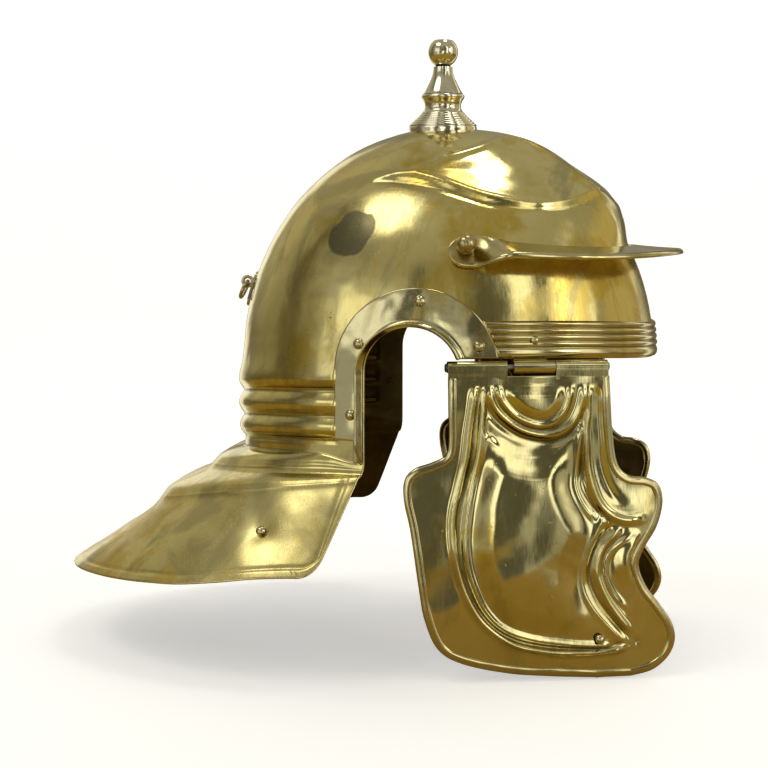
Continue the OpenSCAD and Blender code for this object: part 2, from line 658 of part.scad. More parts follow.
// Relief of the plate: a raised panel with a double ridge, two crescents and two curling ridges
panel = [
  [-3.5, -12], [-5.8, -28], [-5.6, -47], [-10, -62], [-12, -80], [-10.6, -101], [-7, -115], [-1, -128],
  [11, -139], [24, -145.5], [42, -149], [62, -149], [81, -145.5], [71, -135], [62, -124.5], [54.5, -113],
  [53, -103.5], [58, -95], [64, -84], [56, -79], [49, -70.5], [46, -60], [47.5, -36], [32, -42.6],
  [17.4, -41.3], [8.3, -33], [3.7, -14]
];
outer_crescent = [[4.4, -13], [11, -26], [20, -34.4], [32, -38.5], [42, -36.5], [50, -29], [54.6, -14]];
inner_crescent = [[9, -13], [16, -22], [25, -27.6], [34, -29], [42, -24], [46.3, -14]];
upper_curl = [[54.6, -14], [55.5, -50], [59, -63], [67, -73], [76, -77.8], [86, -79]];
lower_curl = [[88, -84], [76, -85], [67.6, -91.5], [64.6, -101.5], [67, -113.3], [73.5, -126], [82, -139]];
curve_steps = 24;
panel_line = curve(concat(panel, [panel[0]]), 54);
ridges = [for (r = [outer_crescent, inner_crescent, upper_curl, lower_curl]) curve(r, curve_steps)];
panel_h = 2.6;
ridge_h = 1.8;
ridge_w = 3.2;
margin_w = 7.5;
function panel_relief(p) =
  let (d = line_dist(p, panel_line) * (inside(p, panel_line) ? 1 : -1))
  panel_h * smooth((d + 3) / 6) - 0.8 * exp(-pow((d - 5.5) / 2.4, 2)) + 0.4 * exp(-pow((d - 9.5) / 2.4, 2));
function plate_relief(p) =
  let (m = smooth((line_dist(p, outline) - margin_w) / 3) * smooth((-9 - p[1]) / 4))
  m * (panel_relief(p) + ridge_h * max([for (r = ridges) exp(-pow(line_dist(p, r) / ridge_w, 2))]));

plate_edge = inset(0.9);
plate_last = len(outline) - 1;
plate_grid = [for (i = [0:edge_rows])
  [for (j = [0:plate_cols]) mix(plate_edge[i], plate_edge[plate_last - i], j / plate_cols)]];

// A grid point as x along the hinge, y outwards, z up
function plate_point(p, q) = [p[0], q, p[1]];

tie_place = [63, -141.5];
// The eye's foot, just behind the raised panel
tie_seat = panel_h - sheet_t / 2 - 0.5;

module cheek_plate() {
  half = sheet_t / 2;
  relief_grid = [for (row = plate_grid) [for (p = row) plate_relief(p)]];
  color(brass) hinge_frame() difference() {
    union() {
      sheet(
        [for (i = [0:edge_rows]) [for (j = [0:plate_cols])
          plate_point(plate_grid[i][j], relief_grid[i][j] - half)]],
        [for (i = [0:edge_rows]) [for (j = [0:plate_cols])
          plate_point(plate_grid[i][j], relief_grid[i][j] + half)]]);
      for (span = [rear_knuckle, front_knuckle]) {
        barrel(span, pin_r + pin_gap);
        low = max(span[0], plate_edge[0][0] + 0.2);
        high = min(span[1], plate_edge[plate_last][0] - 0.2);
        translate([low, -half + 0.05, -8]) cube([high - low, sheet_t - 0.1, 5.6]);
      }
    }
    translate([tie_place[0], 0, tie_place[1]]) rotate([-90, 0, 0]) hole(tie_shank_r, 20);
  }
}

module cheek_plate_right() {
  cheek_plate();
}

module cheek_plate_left() {
  mirror([0, 1, 0]) cheek_plate();
}

// A stretch of flat strip between two insets of the outline, thick mm thick
module edge_strip(out, in, thick) {
  a = inset(out);
  b = inset(in);
  rotate([90, 0, 0]) translate([0, 0, -thick / 2]) linear_extrude(thick)
    polygon(concat(a, [for (k = [len(b) - 1:-1:0]) b[k]]));
}

module cheek_binding() {
  color(pale_brass) hinge_frame() difference() {
    edge_strip(0, binding_w, sheet_t + 1.8);
    edge_strip(0.7, binding_w + 1, sheet_t + 0.4);
  }
}

module cheek_binding_right() {
  cheek_binding();
}

module cheek_binding_left() {
  mirror([0, 1, 0]) cheek_binding();
}

// ---------- tie rings ----------
// Eye and ring: z away from the sheet, the ring turns about y through the eye
eye_r = 2.7;
wire_r = 1;
ring_r = 5;
eye_lift = eye_r + wire_r - 0.2;

module wire_ring(r) {
  rotate_extrude() translate([r, 0]) circle(r = wire_r, $fn = 24);
}

module eye(head_r, head_h, grip) {
  translate([0, 0, eye_lift]) rotate([90, 0, 0]) wire_ring(eye_r);
  translate([0, 0, -grip - head_h / 2]) cylinder(r = tie_shank_r, h = grip + head_h / 2 + 0.6);
  translate([0, 0, -grip]) rotate([180, 0, 0]) dome(head_r, head_h);
}

// Ring with the top of its wire at the origin, hanging towards -Z in the plane of y and z
module hanging_ring() {
  translate([0, 0, -ring_r]) rotate([0, 90, 0]) wire_ring(ring_r);
}

module cheek_tie_eye() {
  color(pale_brass) hinge_frame() translate([tie_place[0], tie_seat, tie_place[1]])
    rotate([90, 0, 0]) rotate([0, 0, 90]) eye(2.4, 1.5, sheet_t + 1.2);
}

module cheek_tie_eye_right() {
  cheek_tie_eye();
}

module cheek_tie_eye_left() {
  mirror([0, 1, 0]) cheek_tie_eye();
}

module cheek_tie_ring() {
  color(brass) hinge_frame() translate([tie_place[0], tie_seat - eye_lift, tie_place[1]])
    rotate([0, 0, 90]) hanging_ring();
}

module cheek_tie_ring_right() {
  cheek_tie_ring();
}

module cheek_tie_ring_left() {
  mirror([0, 1, 0]) cheek_tie_ring();
}

tie_point = guard_point(tie_c, tie_w);
tie_normal = guard_normal(tie_c, tie_w);
tie_heading = atan2(tie_normal[1], tie_normal[0]);
tie_foot = tie_point - (sheet_t + 0.3) * tie_normal;

module neck_tie_eyes() {
  color(pale_brass) both() mirror([0, 1, 0])
    stand(tie_foot, tie_normal) rotate([180, 0, 0]) eye(2.6, 1.6, sheet_t + 0.5);
}

module neck_tie_ring() {
  color(brass) translate(tie_foot - eye_lift * tie_normal) rotate([0, 0, tie_heading]) hanging_ring();
}

module neck_tie_ring_right() {
  mirror([0, 1, 0]) neck_tie_ring();
}

module neck_tie_ring_left() {
  neck_tie_ring();
}

// ---------- ring at the back ----------
plate_w = 12;
plate_h = 16;
back_tilt = 17;
staple_x = -bowl_a * girth(staple_z);
// The staple's loop stands on the plate
staple_seat = 1.9;

module back_frame() {
  translate([staple_x, 0, staple_z]) rotate([0, back_tilt, 0]) rotate([0, -90, 0]) children();
}

module rear_ring_plate() {
  color(pale_brass) back_frame() difference() {
    translate([0, 0, 0.5]) linear_extrude(1.3) union() {
      translate([-4, 0]) square([plate_h - plate_w / 2, plate_w], center = true);
      translate([1, 0]) circle(d = plate_w);
      translate([-9, 0]) circle(d = plate_w * 0.7);
    }
    hole(staple_r, 10);
  }
}

module rear_ring_staple() {
  through = sheet_t + leather_gap + leather_t + 1.6;
  color(pale_brass) back_frame() {
    translate([0, 0, staple_seat + eye_lift]) rotate([90, 0, 0]) wire_ring(eye_r);
    translate([0, 0, -through]) cylinder(r = staple_r, h = through + staple_seat + 0.6);
    translate([0, 0, -through - 1]) cylinder(r = 2.6, h = 1.1);
  }
}

// Angle at which the ring rests against the bowl
ring_lean = 24;
module rear_ring() {
  color(brass) back_frame() translate([0, 0, staple_seat + eye_lift])
    rotate([0, 90, 0]) rotate([0, ring_lean - back_tilt, 0]) hanging_ring();
}

// ---------- leather liner ----------
band_low_z = 30;
band_high_z = 66;
liner_cols = 40;
function in_skin(psi, z, q) =
  let (g = sqrt(1 - pow(z / (bowl_h - q), 2))) [(bowl_a - q) * g * cos(psi), (bowl_b - q) * g * sin(psi), z];
liner_out = sheet_t + leather_gap;

module liner_band() {
  zs = [for (k = [0:4]) mix(band_high_z, band_low_z, k / 4)];
  psis = [for (j = [0:liner_cols - 1]) 360 * j / liner_cols];
  color(tan_leather) difference() {
    ring_sheet(
      [for (z = zs) [for (psi = psis) in_skin(psi, z, liner_out)]],
      [for (z = zs) [for (psi = psis) in_skin(psi, z, liner_out + leather_t)]]);
    both() on_skin(stud_place, -5) hole(stud_r + 0.3);
    back_frame() hole(staple_r + 0.3, 20);
  }
}

tongues = 8;
tongue_rows = 6;
tongue_cols = 4;
tongue_t = 2;
tongue_foot = asin((band_high_z + 0.4) / (bowl_h - liner_out - tongue_t));
function tongue_point(mid, u, t, q) =
  let (lat = mix(tongue_foot, 76, t), psi = mid + u * mix(20, 15, t) * (t > 0.9 ? 0.75 : 1))
  let (g = cos(lat), sag = 1 - 0.14 * t * t)
  [(bowl_a - q) * g * cos(psi), (bowl_b - q) * g * sin(psi), (bowl_h - q) * sin(lat) * sag];

module liner_tongues() {
  color(tan_leather) for (k = [0:tongues - 1]) {
    mid = 360 / tongues * (k + 0.5);
    sheet(
      [for (i = [tongue_rows:-1:0]) [for (j = [0:tongue_cols])
        tongue_point(mid, 2 * j / tongue_cols - 1, i / tongue_rows, liner_out)]],
      [for (i = [tongue_rows:-1:0]) [for (j = [0:tongue_cols])
        tongue_point(mid, 2 * j / tongue_cols - 1, i / tongue_rows, liner_out + tongue_t)]]);
  }
}

module liner_lace() {
  color("black") translate([0, 0, 97]) rotate_extrude() translate([17, 0]) circle(r = 1.3, $fn = 24);
}

bowl();
crest_knob();
knob_washer();
knob_nut();
brow_guard();
brow_guard_studs();
stud_washers();
brow_band();
ear_guard_right();
ear_guard_left();
ear_guard_rivets();
hinge_leaf_right();
hinge_leaf_left();
hinge_rivets();
hinge_pin_right();
hinge_pin_left();
cheek_plate_right();
cheek_plate_left();
cheek_binding_right();
cheek_binding_left();
cheek_tie_eye_right();
cheek_tie_eye_left();
cheek_tie_ring_right();
cheek_tie_ring_left();
neck_tie_eyes();
neck_tie_ring_right();
neck_tie_ring_left();
rear_ring_plate();
rear_ring_staple();
rear_ring();
liner_band();
liner_tongues();
liner_lace();
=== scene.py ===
"""Looks of a brass helmet with a ribbed nape, a stepped neck guard and hinged embossed cheek plates."""

import math

import bmesh
import bpy
import numpy as np
from mathutils import Matrix, Vector


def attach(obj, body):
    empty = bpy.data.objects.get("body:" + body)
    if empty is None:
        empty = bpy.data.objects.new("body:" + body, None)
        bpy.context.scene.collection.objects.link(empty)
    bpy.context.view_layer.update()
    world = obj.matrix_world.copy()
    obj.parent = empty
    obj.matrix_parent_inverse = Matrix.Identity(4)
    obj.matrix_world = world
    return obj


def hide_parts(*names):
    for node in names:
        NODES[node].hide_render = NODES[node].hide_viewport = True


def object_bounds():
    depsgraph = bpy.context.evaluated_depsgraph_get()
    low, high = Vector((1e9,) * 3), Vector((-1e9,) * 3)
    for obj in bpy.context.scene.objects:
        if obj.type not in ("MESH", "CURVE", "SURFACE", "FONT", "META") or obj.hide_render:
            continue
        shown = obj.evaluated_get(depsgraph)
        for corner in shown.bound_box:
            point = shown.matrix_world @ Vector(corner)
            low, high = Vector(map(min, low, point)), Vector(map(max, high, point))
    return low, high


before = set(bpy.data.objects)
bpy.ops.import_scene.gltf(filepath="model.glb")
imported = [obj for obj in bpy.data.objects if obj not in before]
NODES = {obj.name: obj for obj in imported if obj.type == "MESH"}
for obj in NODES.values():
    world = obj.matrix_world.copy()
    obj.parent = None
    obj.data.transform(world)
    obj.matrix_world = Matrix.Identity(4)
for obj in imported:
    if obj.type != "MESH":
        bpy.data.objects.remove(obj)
CAD_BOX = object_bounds()
MM = 0.001
HELMET = "helmet"
SIDES = (("right", -1), ("left", 1))

# ---------- sizes, millimetres ----------
# Bowl: half length, half width, height, sheet thickness, rim height at the temples and its dip at the front
BOWL_A, BOWL_B, BOWL_H = 115.0, 94.0, 127.0
SHEET = 1.2
RIM_SIDE, RIM_DIP = 6.5, 4.5
BREAK_Z = 42.0
KNOB_X = -3.0
KNOB_HOLE_R = 3.15
# Ear opening and the guard round it
EAR_X, EAR_Z, EAR_R, EAR_RECESS = -10.4, -2.5, 24.0, 1.5
STRIP_X, STRIP_Z, STRIP_R, STRIP_END_Z = -8.5, -1.0, 42.0, -37.0
EAR_LIP, FLARE, LIP_END_Z, EAR_GAP = 11.0, 4.0, -48.5, 0.2
ARCH_R = EAR_R + EAR_RECESS
LEG_PSI = math.degrees(math.acos((EAR_X - ARCH_R) / BOWL_A))
# Nape and neck guard
NAPE_RIBS = (-14.5, -28.0, -41.0)
NAPE_GROOVES = (-21.2, -34.6, -47.2)
BASE_Z = -51.7
GUARD_SIDE_X, GUARD_TIP_X, GUARD_HALF_W, GUARD_TIP_Z = -66.0, -214.7, 118.0, -119.0
CORNER_C, CORNER_R, CORNER_TURN = 0.88, 16.0, 49.0
FLANGE_W = 4.2
STEP_ROUND = 0.03
TIE_C, TIE_W = 0.75, 0.62
# Brow guard and band
REACH, GUARD_T, PLATE_GAP = 27.0, 3.2, 0.5
LEVEL_FRONT, LEVEL_SIDE = 54.5, 59.4
TAB_PSI, TAB_END_PSI, TAB_W = 81.2, 86.0, 17.0
BROW_DISH = 0.3
BAND_H = 18.5
# Cheek hinges and plates
HINGE_ANGLE, HINGE_OFF, HINGE_Z = 14.6, 98.2, 2.0
KNUCKLE_R, PIN_HOLE_R, KNUCKLE_FOOT = 3.3, 1.56, -6.2
KNUCKLES = ((-17.0, 13.2), (38.4, 65.5))
BINDING_W = 4.2
TOP_LIFT = 2.4
# Liner
LINER_GAP, LEATHER_T = 3.8, 2.4
LINER_LOW, LINER_HIGH = 30.0, 66.0
TONGUES = 8


# ---------- numbers ----------
def unit(v):
    return v / np.maximum(np.linalg.norm(v, axis=-1, keepdims=True), 1e-12)


def mix(a, b, t):
    return a + (b - a) * t


def smooth(t):
    u = np.clip(t, 0, 1)
    return u * u * (3 - 2 * u)


def bump(x, width):
    return np.exp(-((x / width) ** 2))


def sind(a):
    return np.sin(np.radians(a))


def cosd(a):
    return np.cos(np.radians(a))


def curve(points, count):
    """count + 1 points along a Catmull-Rom curve through points, evenly spaced in its parameter."""
    p = np.array(points, float)
    n = len(p) - 1
    t = np.linspace(0, n, count + 1)
    k = np.minimum(n - 1, t.astype(int))
    u = (t - k)[:, None]
    a, b, c, d = p[np.maximum(k - 1, 0)], p[k], p[k + 1], p[np.minimum(k + 2, n)]
    return 0.5 * (2 * b + (c - a) * u + (2 * a - 5 * b + 4 * c - d) * u**2 + (3 * b - a - 3 * c + d) * u**3)


def even(points, count):
    """count + 1 points at equal distances along a polyline."""
    p = np.array(points, float)
    s = np.concatenate([[0], np.cumsum(np.linalg.norm(np.diff(p, axis=0), axis=1))])
    at = np.linspace(0, s[-1], count + 1)
    return np.stack([np.interp(at, s, p[:, k]) for k in range(p.shape[1])], -1)


def line_distance(q, line):
    """Distance of each point of q to a polyline, in any number of dimensions."""
    best = np.full(q.shape[:-1], 1e9)
    for a, b in zip(line[:-1], line[1:]):
        d = b - a
        t = np.clip(((q - a) @ d) / max(d @ d, 1e-12), 0, 1)
        best = np.minimum(best, np.linalg.norm(q - a - t[..., None] * d, axis=-1))
    return best


def inside(q, outline):
    """True where the plane points q lie inside a closed outline."""
    x, y = q[..., 0], q[..., 1]
    odd = np.zeros(x.shape, bool)
    for a, b in zip(outline, np.roll(outline, -1, axis=0)):
        if a[1] == b[1]:
            continue
        crosses = (a[1] > y) != (b[1] > y)
        odd ^= crosses & (x < a[0] + (b[0] - a[0]) * (y - a[1]) / (b[1] - a[1]))
    return odd


# ---------- meshes ----------
def grid_faces(rows, cols, start=0, closed=False, keep=None):
    """Quads of a grid of rows x cols points; keep(i, j) leaves cells out."""
    last = cols if closed else cols - 1
    i, j = np.meshgrid(np.arange(rows - 1), np.arange(last), indexing="ij")
    i, j = i.ravel(), j.ravel()
    if keep is not None:
        chosen = keep(i, j)
        i, j = i[chosen], j[chosen]
    k = (j + 1) % cols
    return start + np.stack([i * cols + j, i * cols + k, (i + 1) * cols + k, (i + 1) * cols + j], -1)


def drop_unused(points, faces):
    used, index = np.unique(faces, return_inverse=True)
    return points[used], index.reshape(faces.shape)


def point_normals(points, faces):
    a, b, c, d = (points[faces[:, k]] for k in range(4))
    face = np.cross(c - a, d - b)
    total = np.zeros_like(points)
    for k in range(4):
        np.add.at(total, faces[:, k], face)
    return unit(total)


def thicken(points, faces, thick, outward, rim_steps=3):
    """A closed sheet with round edges. points are its outer face, and outward(points) points away from it."""
    points, faces = drop_unused(points, faces)
    normal = point_normals(points, faces)
    if np.sum(normal * outward(points)) < 0:
        faces = faces[:, ::-1]
        normal = -normal
    count = len(points)
    edges = np.concatenate([faces[:, [k, (k + 1) % 4]] for k in range(4)])
    key = np.sort(edges, axis=1) @ np.array([count, 1])
    _, first, times = np.unique(key, return_index=True, return_counts=True)
    border = edges[first[times == 1]]
    out = np.zeros_like(points)
    side = unit(np.cross(points[border[:, 1]] - points[border[:, 0]], normal[border].sum(1)))
    np.add.at(out, border[:, 0], side)
    np.add.at(out, border[:, 1], side)
    rim = np.unique(border)
    place = np.full(count, -1)
    place[rim] = np.arange(len(rim))
    middle = points[rim] - thick / 2 * normal[rim]
    out = unit(out[rim])
    rings = []
    for k in range(1, rim_steps + 1):
        a = math.pi * k / (rim_steps + 1)
        rings.append(middle + thick / 2 * (math.cos(a) * normal[rim] + math.sin(a) * out))
    all_points = np.concatenate([points, points - thick * normal] + rings)
    rim_ids = [2 * count + k * len(rim) + np.arange(len(rim)) for k in range(rim_steps)]
    ids = [rim] + rim_ids + [count + rim]
    a, b = place[border[:, 0]], place[border[:, 1]]
    bands = [np.stack([u[b], u[a], v[a], v[b]], -1) for u, v in zip(ids[:-1], ids[1:])]
    return all_points, np.concatenate([faces, faces[:, ::-1] + count] + bands)


def sweep(loops, closed=False):
    """Points and quads of a tube through loops (count x points x 3); open ends are filled by quads."""
    n, k = loops.shape[:2]
    last = (n - 1) * k
    faces = [grid_faces(n, k, closed=True)]
    if closed:
        j = np.arange(k)
        after = (j + 1) % k
        faces.append(np.stack([last + j, last + after, after, j], -1))
    else:
        j = np.arange(k // 2 - 1)
        cap = np.stack([j, j + 1, k - 2 - j, k - 1 - j], -1)
        faces += [cap, last + cap[:, ::-1]]
    return loops.reshape(-1, 3), np.concatenate(faces)


def merge(parts):
    """One mesh from several pairs of points and quads."""
    starts = np.cumsum([0] + [len(points) for points, _ in parts[:-1]])
    faces = [quads + start for (_, quads), start in zip(parts, starts)]
    return np.concatenate([points for points, _ in parts]), np.concatenate(faces)


def arc(centre, radius, angles):
    """Points of a circle in a plane, at angles from its first axis."""
    return np.array(centre) + radius * np.stack([cosd(angles), sind(angles)], -1)


def tube(line, radius, sides, closed=False):
    """A round cord along a line, thinner at its open ends."""
    if closed:
        t = unit(np.roll(line, -1, axis=0) - np.roll(line, 1, axis=0))
    else:
        t = unit(np.gradient(line, axis=0))
    side = unit(np.cross(t, [0.0, 0.0, 1.0]))
    up = np.cross(side, t)
    r = np.full((len(line), 1, 1), radius)
    if not closed:
        r[[0, -1]] *= 0.45
    a = np.linspace(0, 360, sides, endpoint=False)[:, None]
    ring = cosd(a) * side[:, None] + sind(a) * up[:, None]
    return sweep(line[:, None] + r * ring, closed)


def lathe(profile, segments, x=0.0, y=0.0):
    """A turned solid about the vertical axis from (radius, height) pairs that start and end on the axis."""
    p = np.array(profile, float)
    a = np.linspace(0, 2 * math.pi, segments, endpoint=False)
    radius, height = p[:, :1], np.repeat(p[:, 1:], segments, 1)
    grid = np.stack([x + radius * np.cos(a), y + radius * np.sin(a), height], -1)
    return grid.reshape(-1, 3), grid_faces(len(p), segments, closed=True)


def concavity(mesh, spread=2):
    """How hollow the surface is at each vertex, from -1 (a ridge) to 1 (a groove)."""
    count = len(mesh.vertices)
    co = np.zeros(count * 3, np.float32)
    no = np.zeros(count * 3, np.float32)
    ed = np.zeros(len(mesh.edges) * 2, np.int32)
    mesh.vertices.foreach_get("co", co)
    mesh.vertex_normals.foreach_get("vector", no)
    mesh.edges.foreach_get("vertices", ed)
    co, no, ed = co.reshape(-1, 3).astype(float), no.reshape(-1, 3), ed.reshape(-1, 2)
    degree = np.bincount(ed.ravel(), minlength=count)
    length = np.linalg.norm(co[ed[:, 0]] - co[ed[:, 1]], axis=1)
    size = np.bincount(ed.ravel(), np.repeat(length, 2), count) / np.maximum(degree, 1)
    total = np.zeros_like(co)
    np.add.at(total, ed[:, 0], co[ed[:, 1]])
    np.add.at(total, ed[:, 1], co[ed[:, 0]])
    lap = total / np.maximum(degree, 1)[:, None] - co
    value = np.sum(lap * no, axis=1) / np.maximum(size, 1e-9) ** 2 * 0.0022
    for _ in range(spread):
        s = np.bincount(ed[:, 0], value[ed[:, 1]], count) + np.bincount(ed[:, 1], value[ed[:, 0]], count)
        value = 0.4 * value + 0.6 * s / np.maximum(degree, 1)
    return np.clip(value, -1, 1)


def finish_piece(name, points, faces, material, body, slot, nodes=(), spread=3, sharp=None):
    """Makes the object, smooths it, stores its grooves and sets it on its body."""
    faces = [tuple(dict.fromkeys(f)) for f in faces.tolist()]
    mesh = bpy.data.meshes.new(name)
    mesh.from_pydata((points * MM).tolist(), [], [f for f in faces if len(f) > 2])
    bm = bmesh.new()
    bm.from_mesh(mesh)
    bmesh.ops.remove_doubles(bm, verts=bm.verts, dist=1e-7)
    bmesh.ops.dissolve_degenerate(bm, edges=bm.edges, dist=1e-8)
    bmesh.ops.recalc_face_normals(bm, faces=bm.faces)
    bm.to_mesh(mesh)
    bm.free()
    mesh.shade_smooth()
    obj = bpy.data.objects.new(name, mesh)
    bpy.context.scene.collection.objects.link(obj)
    groove = mesh.attributes.new("groove", "FLOAT", "POINT")
    groove.data.foreach_set("value", concavity(mesh, spread).astype(np.float32))
    if sharp is not None:
        mesh.set_sharp_from_angle(angle=math.radians(sharp))
    mesh.materials.append(material)
    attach(obj, body)
    for node in nodes:
        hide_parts(node)
    return obj


def flipped(points, side):
    """Right-side points as they are for side -1, mirrored for side 1."""
    return points * np.array([1, -side, 1])


# ---------- bowl surface ----------
def skin_xy(x, y, z_below=None):
    """Base point and normal of the bowl at x, y; z_below is the height where the wall is upright."""
    if z_below is None:
        z = BOWL_H * np.sqrt(np.maximum(0, 1 - (x / BOWL_A) ** 2 - (y / BOWL_B) ** 2))
    else:
        z = z_below
    normal = unit(np.stack([x / BOWL_A**2, y / BOWL_B**2, np.maximum(z, 0) / BOWL_H**2], -1))
    return np.stack([x, y, z], -1), normal


def girth(z):
    return np.sqrt(1 - (np.maximum(z, 0) / BOWL_H) ** 2)


def skin_at(psi, z):
    """Base point and normal of the bowl at angle psi (0 front, 180 back) and height z."""
    return skin_xy(BOWL_A * girth(z) * cosd(psi), BOWL_B * girth(z) * sind(psi), z)


def alike(*values):
    return np.broadcast_arrays(*(np.asarray(v, float) for v in values))


def round_skin(psi, z, q):
    """Bowl at angle psi and height z, raised by q."""
    psi, z, q = alike(psi, z, q)
    base, normal = skin_at(psi, z)
    return base + q[..., None] * normal


def skin(x, z, q):
    """Right side of the bowl at x and z, raised by q."""
    x, z, q = alike(x, z, q)
    y = -BOWL_B * np.sqrt(np.maximum(0, girth(z) ** 2 - (x / BOWL_A) ** 2))
    base, normal = skin_xy(x, y, z)
    return base + q[..., None] * normal


def rim_z(psi):
    return RIM_SIDE - RIM_DIP * np.maximum(0, cosd(psi)) ** 4


# Eyebrow: a raised panel between two beads that meet in a point towards the back, as (angle, latitude)
BROW_TOP = (
    (104, 52.2), (98, 54.2), (90, 57.6), (77, 61.2), (62, 64.8), (48, 67.6), (36, 68.2), (28, 65), (25, 60),
    (24, 55), (22.5, 48.5), (20, 43.6))
BROW_LOW = (
    (118, 50), (114, 51.1), (110, 51.8), (104, 52.2), (97, 51.2), (89, 49), (80, 46), (73, 43.9),
    (66, 42.4), (58, 41.2), (48, 40.9), (37, 41.9), (27, 43.2), (20, 43.6))
BROW_FRONT = ((20, 43.6), (15, 41.6), (9, 39.6), (3, 38.8), (-3, 38.8))
BROW_CREASE = (
    (119, 48.8), (110, 49.2), (101, 48.4), (93, 47), (88, 46), (80, 43.8), (72, 41.5), (66, 40.2))


def brow_line(points, count=90):
    p = curve(points, count)
    psi, lat = p[:, 0], p[:, 1]
    return round_skin(psi, BOWL_H * sind(lat), 0)


def eyebrow(base):
    """Height of the eyebrow at base points of the bowl (the right and left sides are alike)."""
    q = np.stack([base[..., 0], np.abs(base[..., 1]), base[..., 2]], -1)
    lines = [brow_line(BROW_TOP), brow_line(BROW_LOW), brow_line(BROW_FRONT, 24), brow_line(BROW_CREASE, 40)]
    d_top, d_low, d_front, d_crease = (line_distance(q, line) for line in lines)
    lat = np.degrees(np.arcsin(np.clip(q[..., 2] / BOWL_H, -1, 1)))
    psi = np.degrees(np.arctan2(q[..., 1] / BOWL_B, q[..., 0] / BOWL_A))
    outline = np.concatenate([curve(BROW_TOP, 60), curve(BROW_LOW[3:], 60)[::-1]])
    within = np.where(inside(np.stack([psi, lat], -1), outline), 1, -1)
    d = within * np.minimum(d_top, d_low)
    rear = smooth((120 - psi) / 16)
    panel = 1.0 * smooth((d + 2.0) / 4.5)
    beads = np.maximum(1.5 * bump(d_top, 2.4) * smooth((108 - psi) / 10), 1.4 * bump(d_low, 1.9) * rear)
    beads = np.maximum(beads, 0.9 * bump(d_front, 4.0))
    dish = -1.3 * smooth(d / 16) * smooth((110 - psi) / 30)
    end = smooth((119.5 - psi) / 12) * smooth((psi - 64) / 10)
    crease = -0.9 * bump(d_crease, 1.4) * end
    return panel + beads + dish + crease


def forehead(psi, lat):
    full = 3.2 * smooth((lat - 30) / 14) * smooth((86 - lat) / 26) * smooth((80 - psi) / 60)
    return full + 3.6 * smooth((lat - 28.5) / 7.5) * smooth((56 - lat) / 14) * smooth((40 - psi) / 24)


def nape(x, z):
    """Ribs that rise towards the ears and run under the ear guards; the wall flows into the top one."""
    fade = smooth((-48.5 - x) / 2.6)
    level = z - 0.11 * BOWL_B * np.sqrt(np.maximum(0, 1 - (x / BOWL_A) ** 2))
    swell = np.sin(np.pi * np.clip((8 - level) / 60, 0, 1)) * smooth((-51 - x) / 10)
    ribs = sum(np.exp(-np.abs((level - r) / 4.3) ** 2.6) for r in NAPE_RIBS)
    shoulder = np.exp(-np.abs((level - NAPE_RIBS[0]) / 9.0) ** 2) * (level > NAPE_RIBS[0])
    grooves = sum(bump(level - g, 1.5) for g in NAPE_GROOVES)
    return fade * (swell + 2.3 * np.maximum(ribs, shoulder) - 0.8 * grooves)


def hammer(base, size, amount, seed):
    """Slow waves left by raising the sheet, so that reflections wander."""
    rng = np.random.default_rng(seed)
    total = 0.0
    for _ in range(9):
        k = rng.normal(size=3) / size
        total = total + np.sin(base @ k * 2 * math.pi + rng.uniform(0, 2 * math.pi))
    return amount * total / 3


# ---------- neck guard surface ----------
def guard_base(c):
    psi = 180 - c * (180 - LEG_PSI)
    z = BASE_Z + 0.08 * BOWL_B * sind(psi) - 5 * smooth((c - 0.8) / 0.2)
    return round_skin(psi, z, nape(BOWL_A * cosd(psi), z))


def guard_edge(c):
    tau = 90 * np.minimum(1, c / CORNER_C)
    k = np.maximum(0, (c - CORNER_C) / (1 - CORNER_C))
    v = sind(tau)
    turn = CORNER_TURN * k
    z = GUARD_TIP_Z + 10 * (np.sqrt(v * v + 0.04) - 0.2) + 7.5 * v**16 + 9 * k * k
    return np.stack([mix(GUARD_SIDE_X, GUARD_TIP_X, cosd(tau)) + CORNER_R * sind(turn),
                     GUARD_HALF_W * v - CORNER_R * (1 - cosd(turn)), z], -1)


def step_shares(c):
    c = np.maximum(c, 0)
    return mix(0.196, 0.02, c * c), mix(0.51, 0.18, c**1.5)


def fall(u, straight, power):
    return straight * u + (1 - straight) * (1 - np.sqrt(np.maximum(0, 1 - np.clip(u, 0, 1) ** power)))


def guard_height(c, w, base, edge):
    f0, f1 = step_shares(c)
    u = np.maximum(c, 0) ** 0.85
    s0, s1 = mix(-64.0, -54.0, smooth(np.maximum(c, 0) ** 0.8)), mix(-87.4, -58.4, (u + smooth(u)) / 2)
    first = mix(base[..., 2], s0, fall(w / f0, 0.45, 3))
    second = mix(s0, s1, fall((w - f0) / (f1 - f0), 0.6, 6))
    third = mix(s1, edge[..., 2], (w - f1) / (1 - f1))
    return np.where(w < f0, first, np.where(w < f1, second, third))


def guard_point(c, w):
    """Point of the neck guard at side share c and w of the way to the edge; the steps' feet are round."""
    c, w = alike(c, w)
    base, edge = guard_base(c), guard_edge(c)
    near = STEP_ROUND * smooth(w / STEP_ROUND)
    z = sum(guard_height(c, np.maximum(w + k * near, 0), base, edge) for k in (-1, -0.5, 0, 0.5, 1)) / 5
    return np.concatenate([mix(base[..., :2], edge[..., :2], w[..., None]), z[..., None]], -1)


def guard_normal(c, w):
    e = 0.01
    outwards = guard_point(c, w + e) - guard_point(c, w - e)
    sideways = guard_point(c - e, w) - guard_point(c + e, w)
    return unit(np.cross(outwards, sideways))


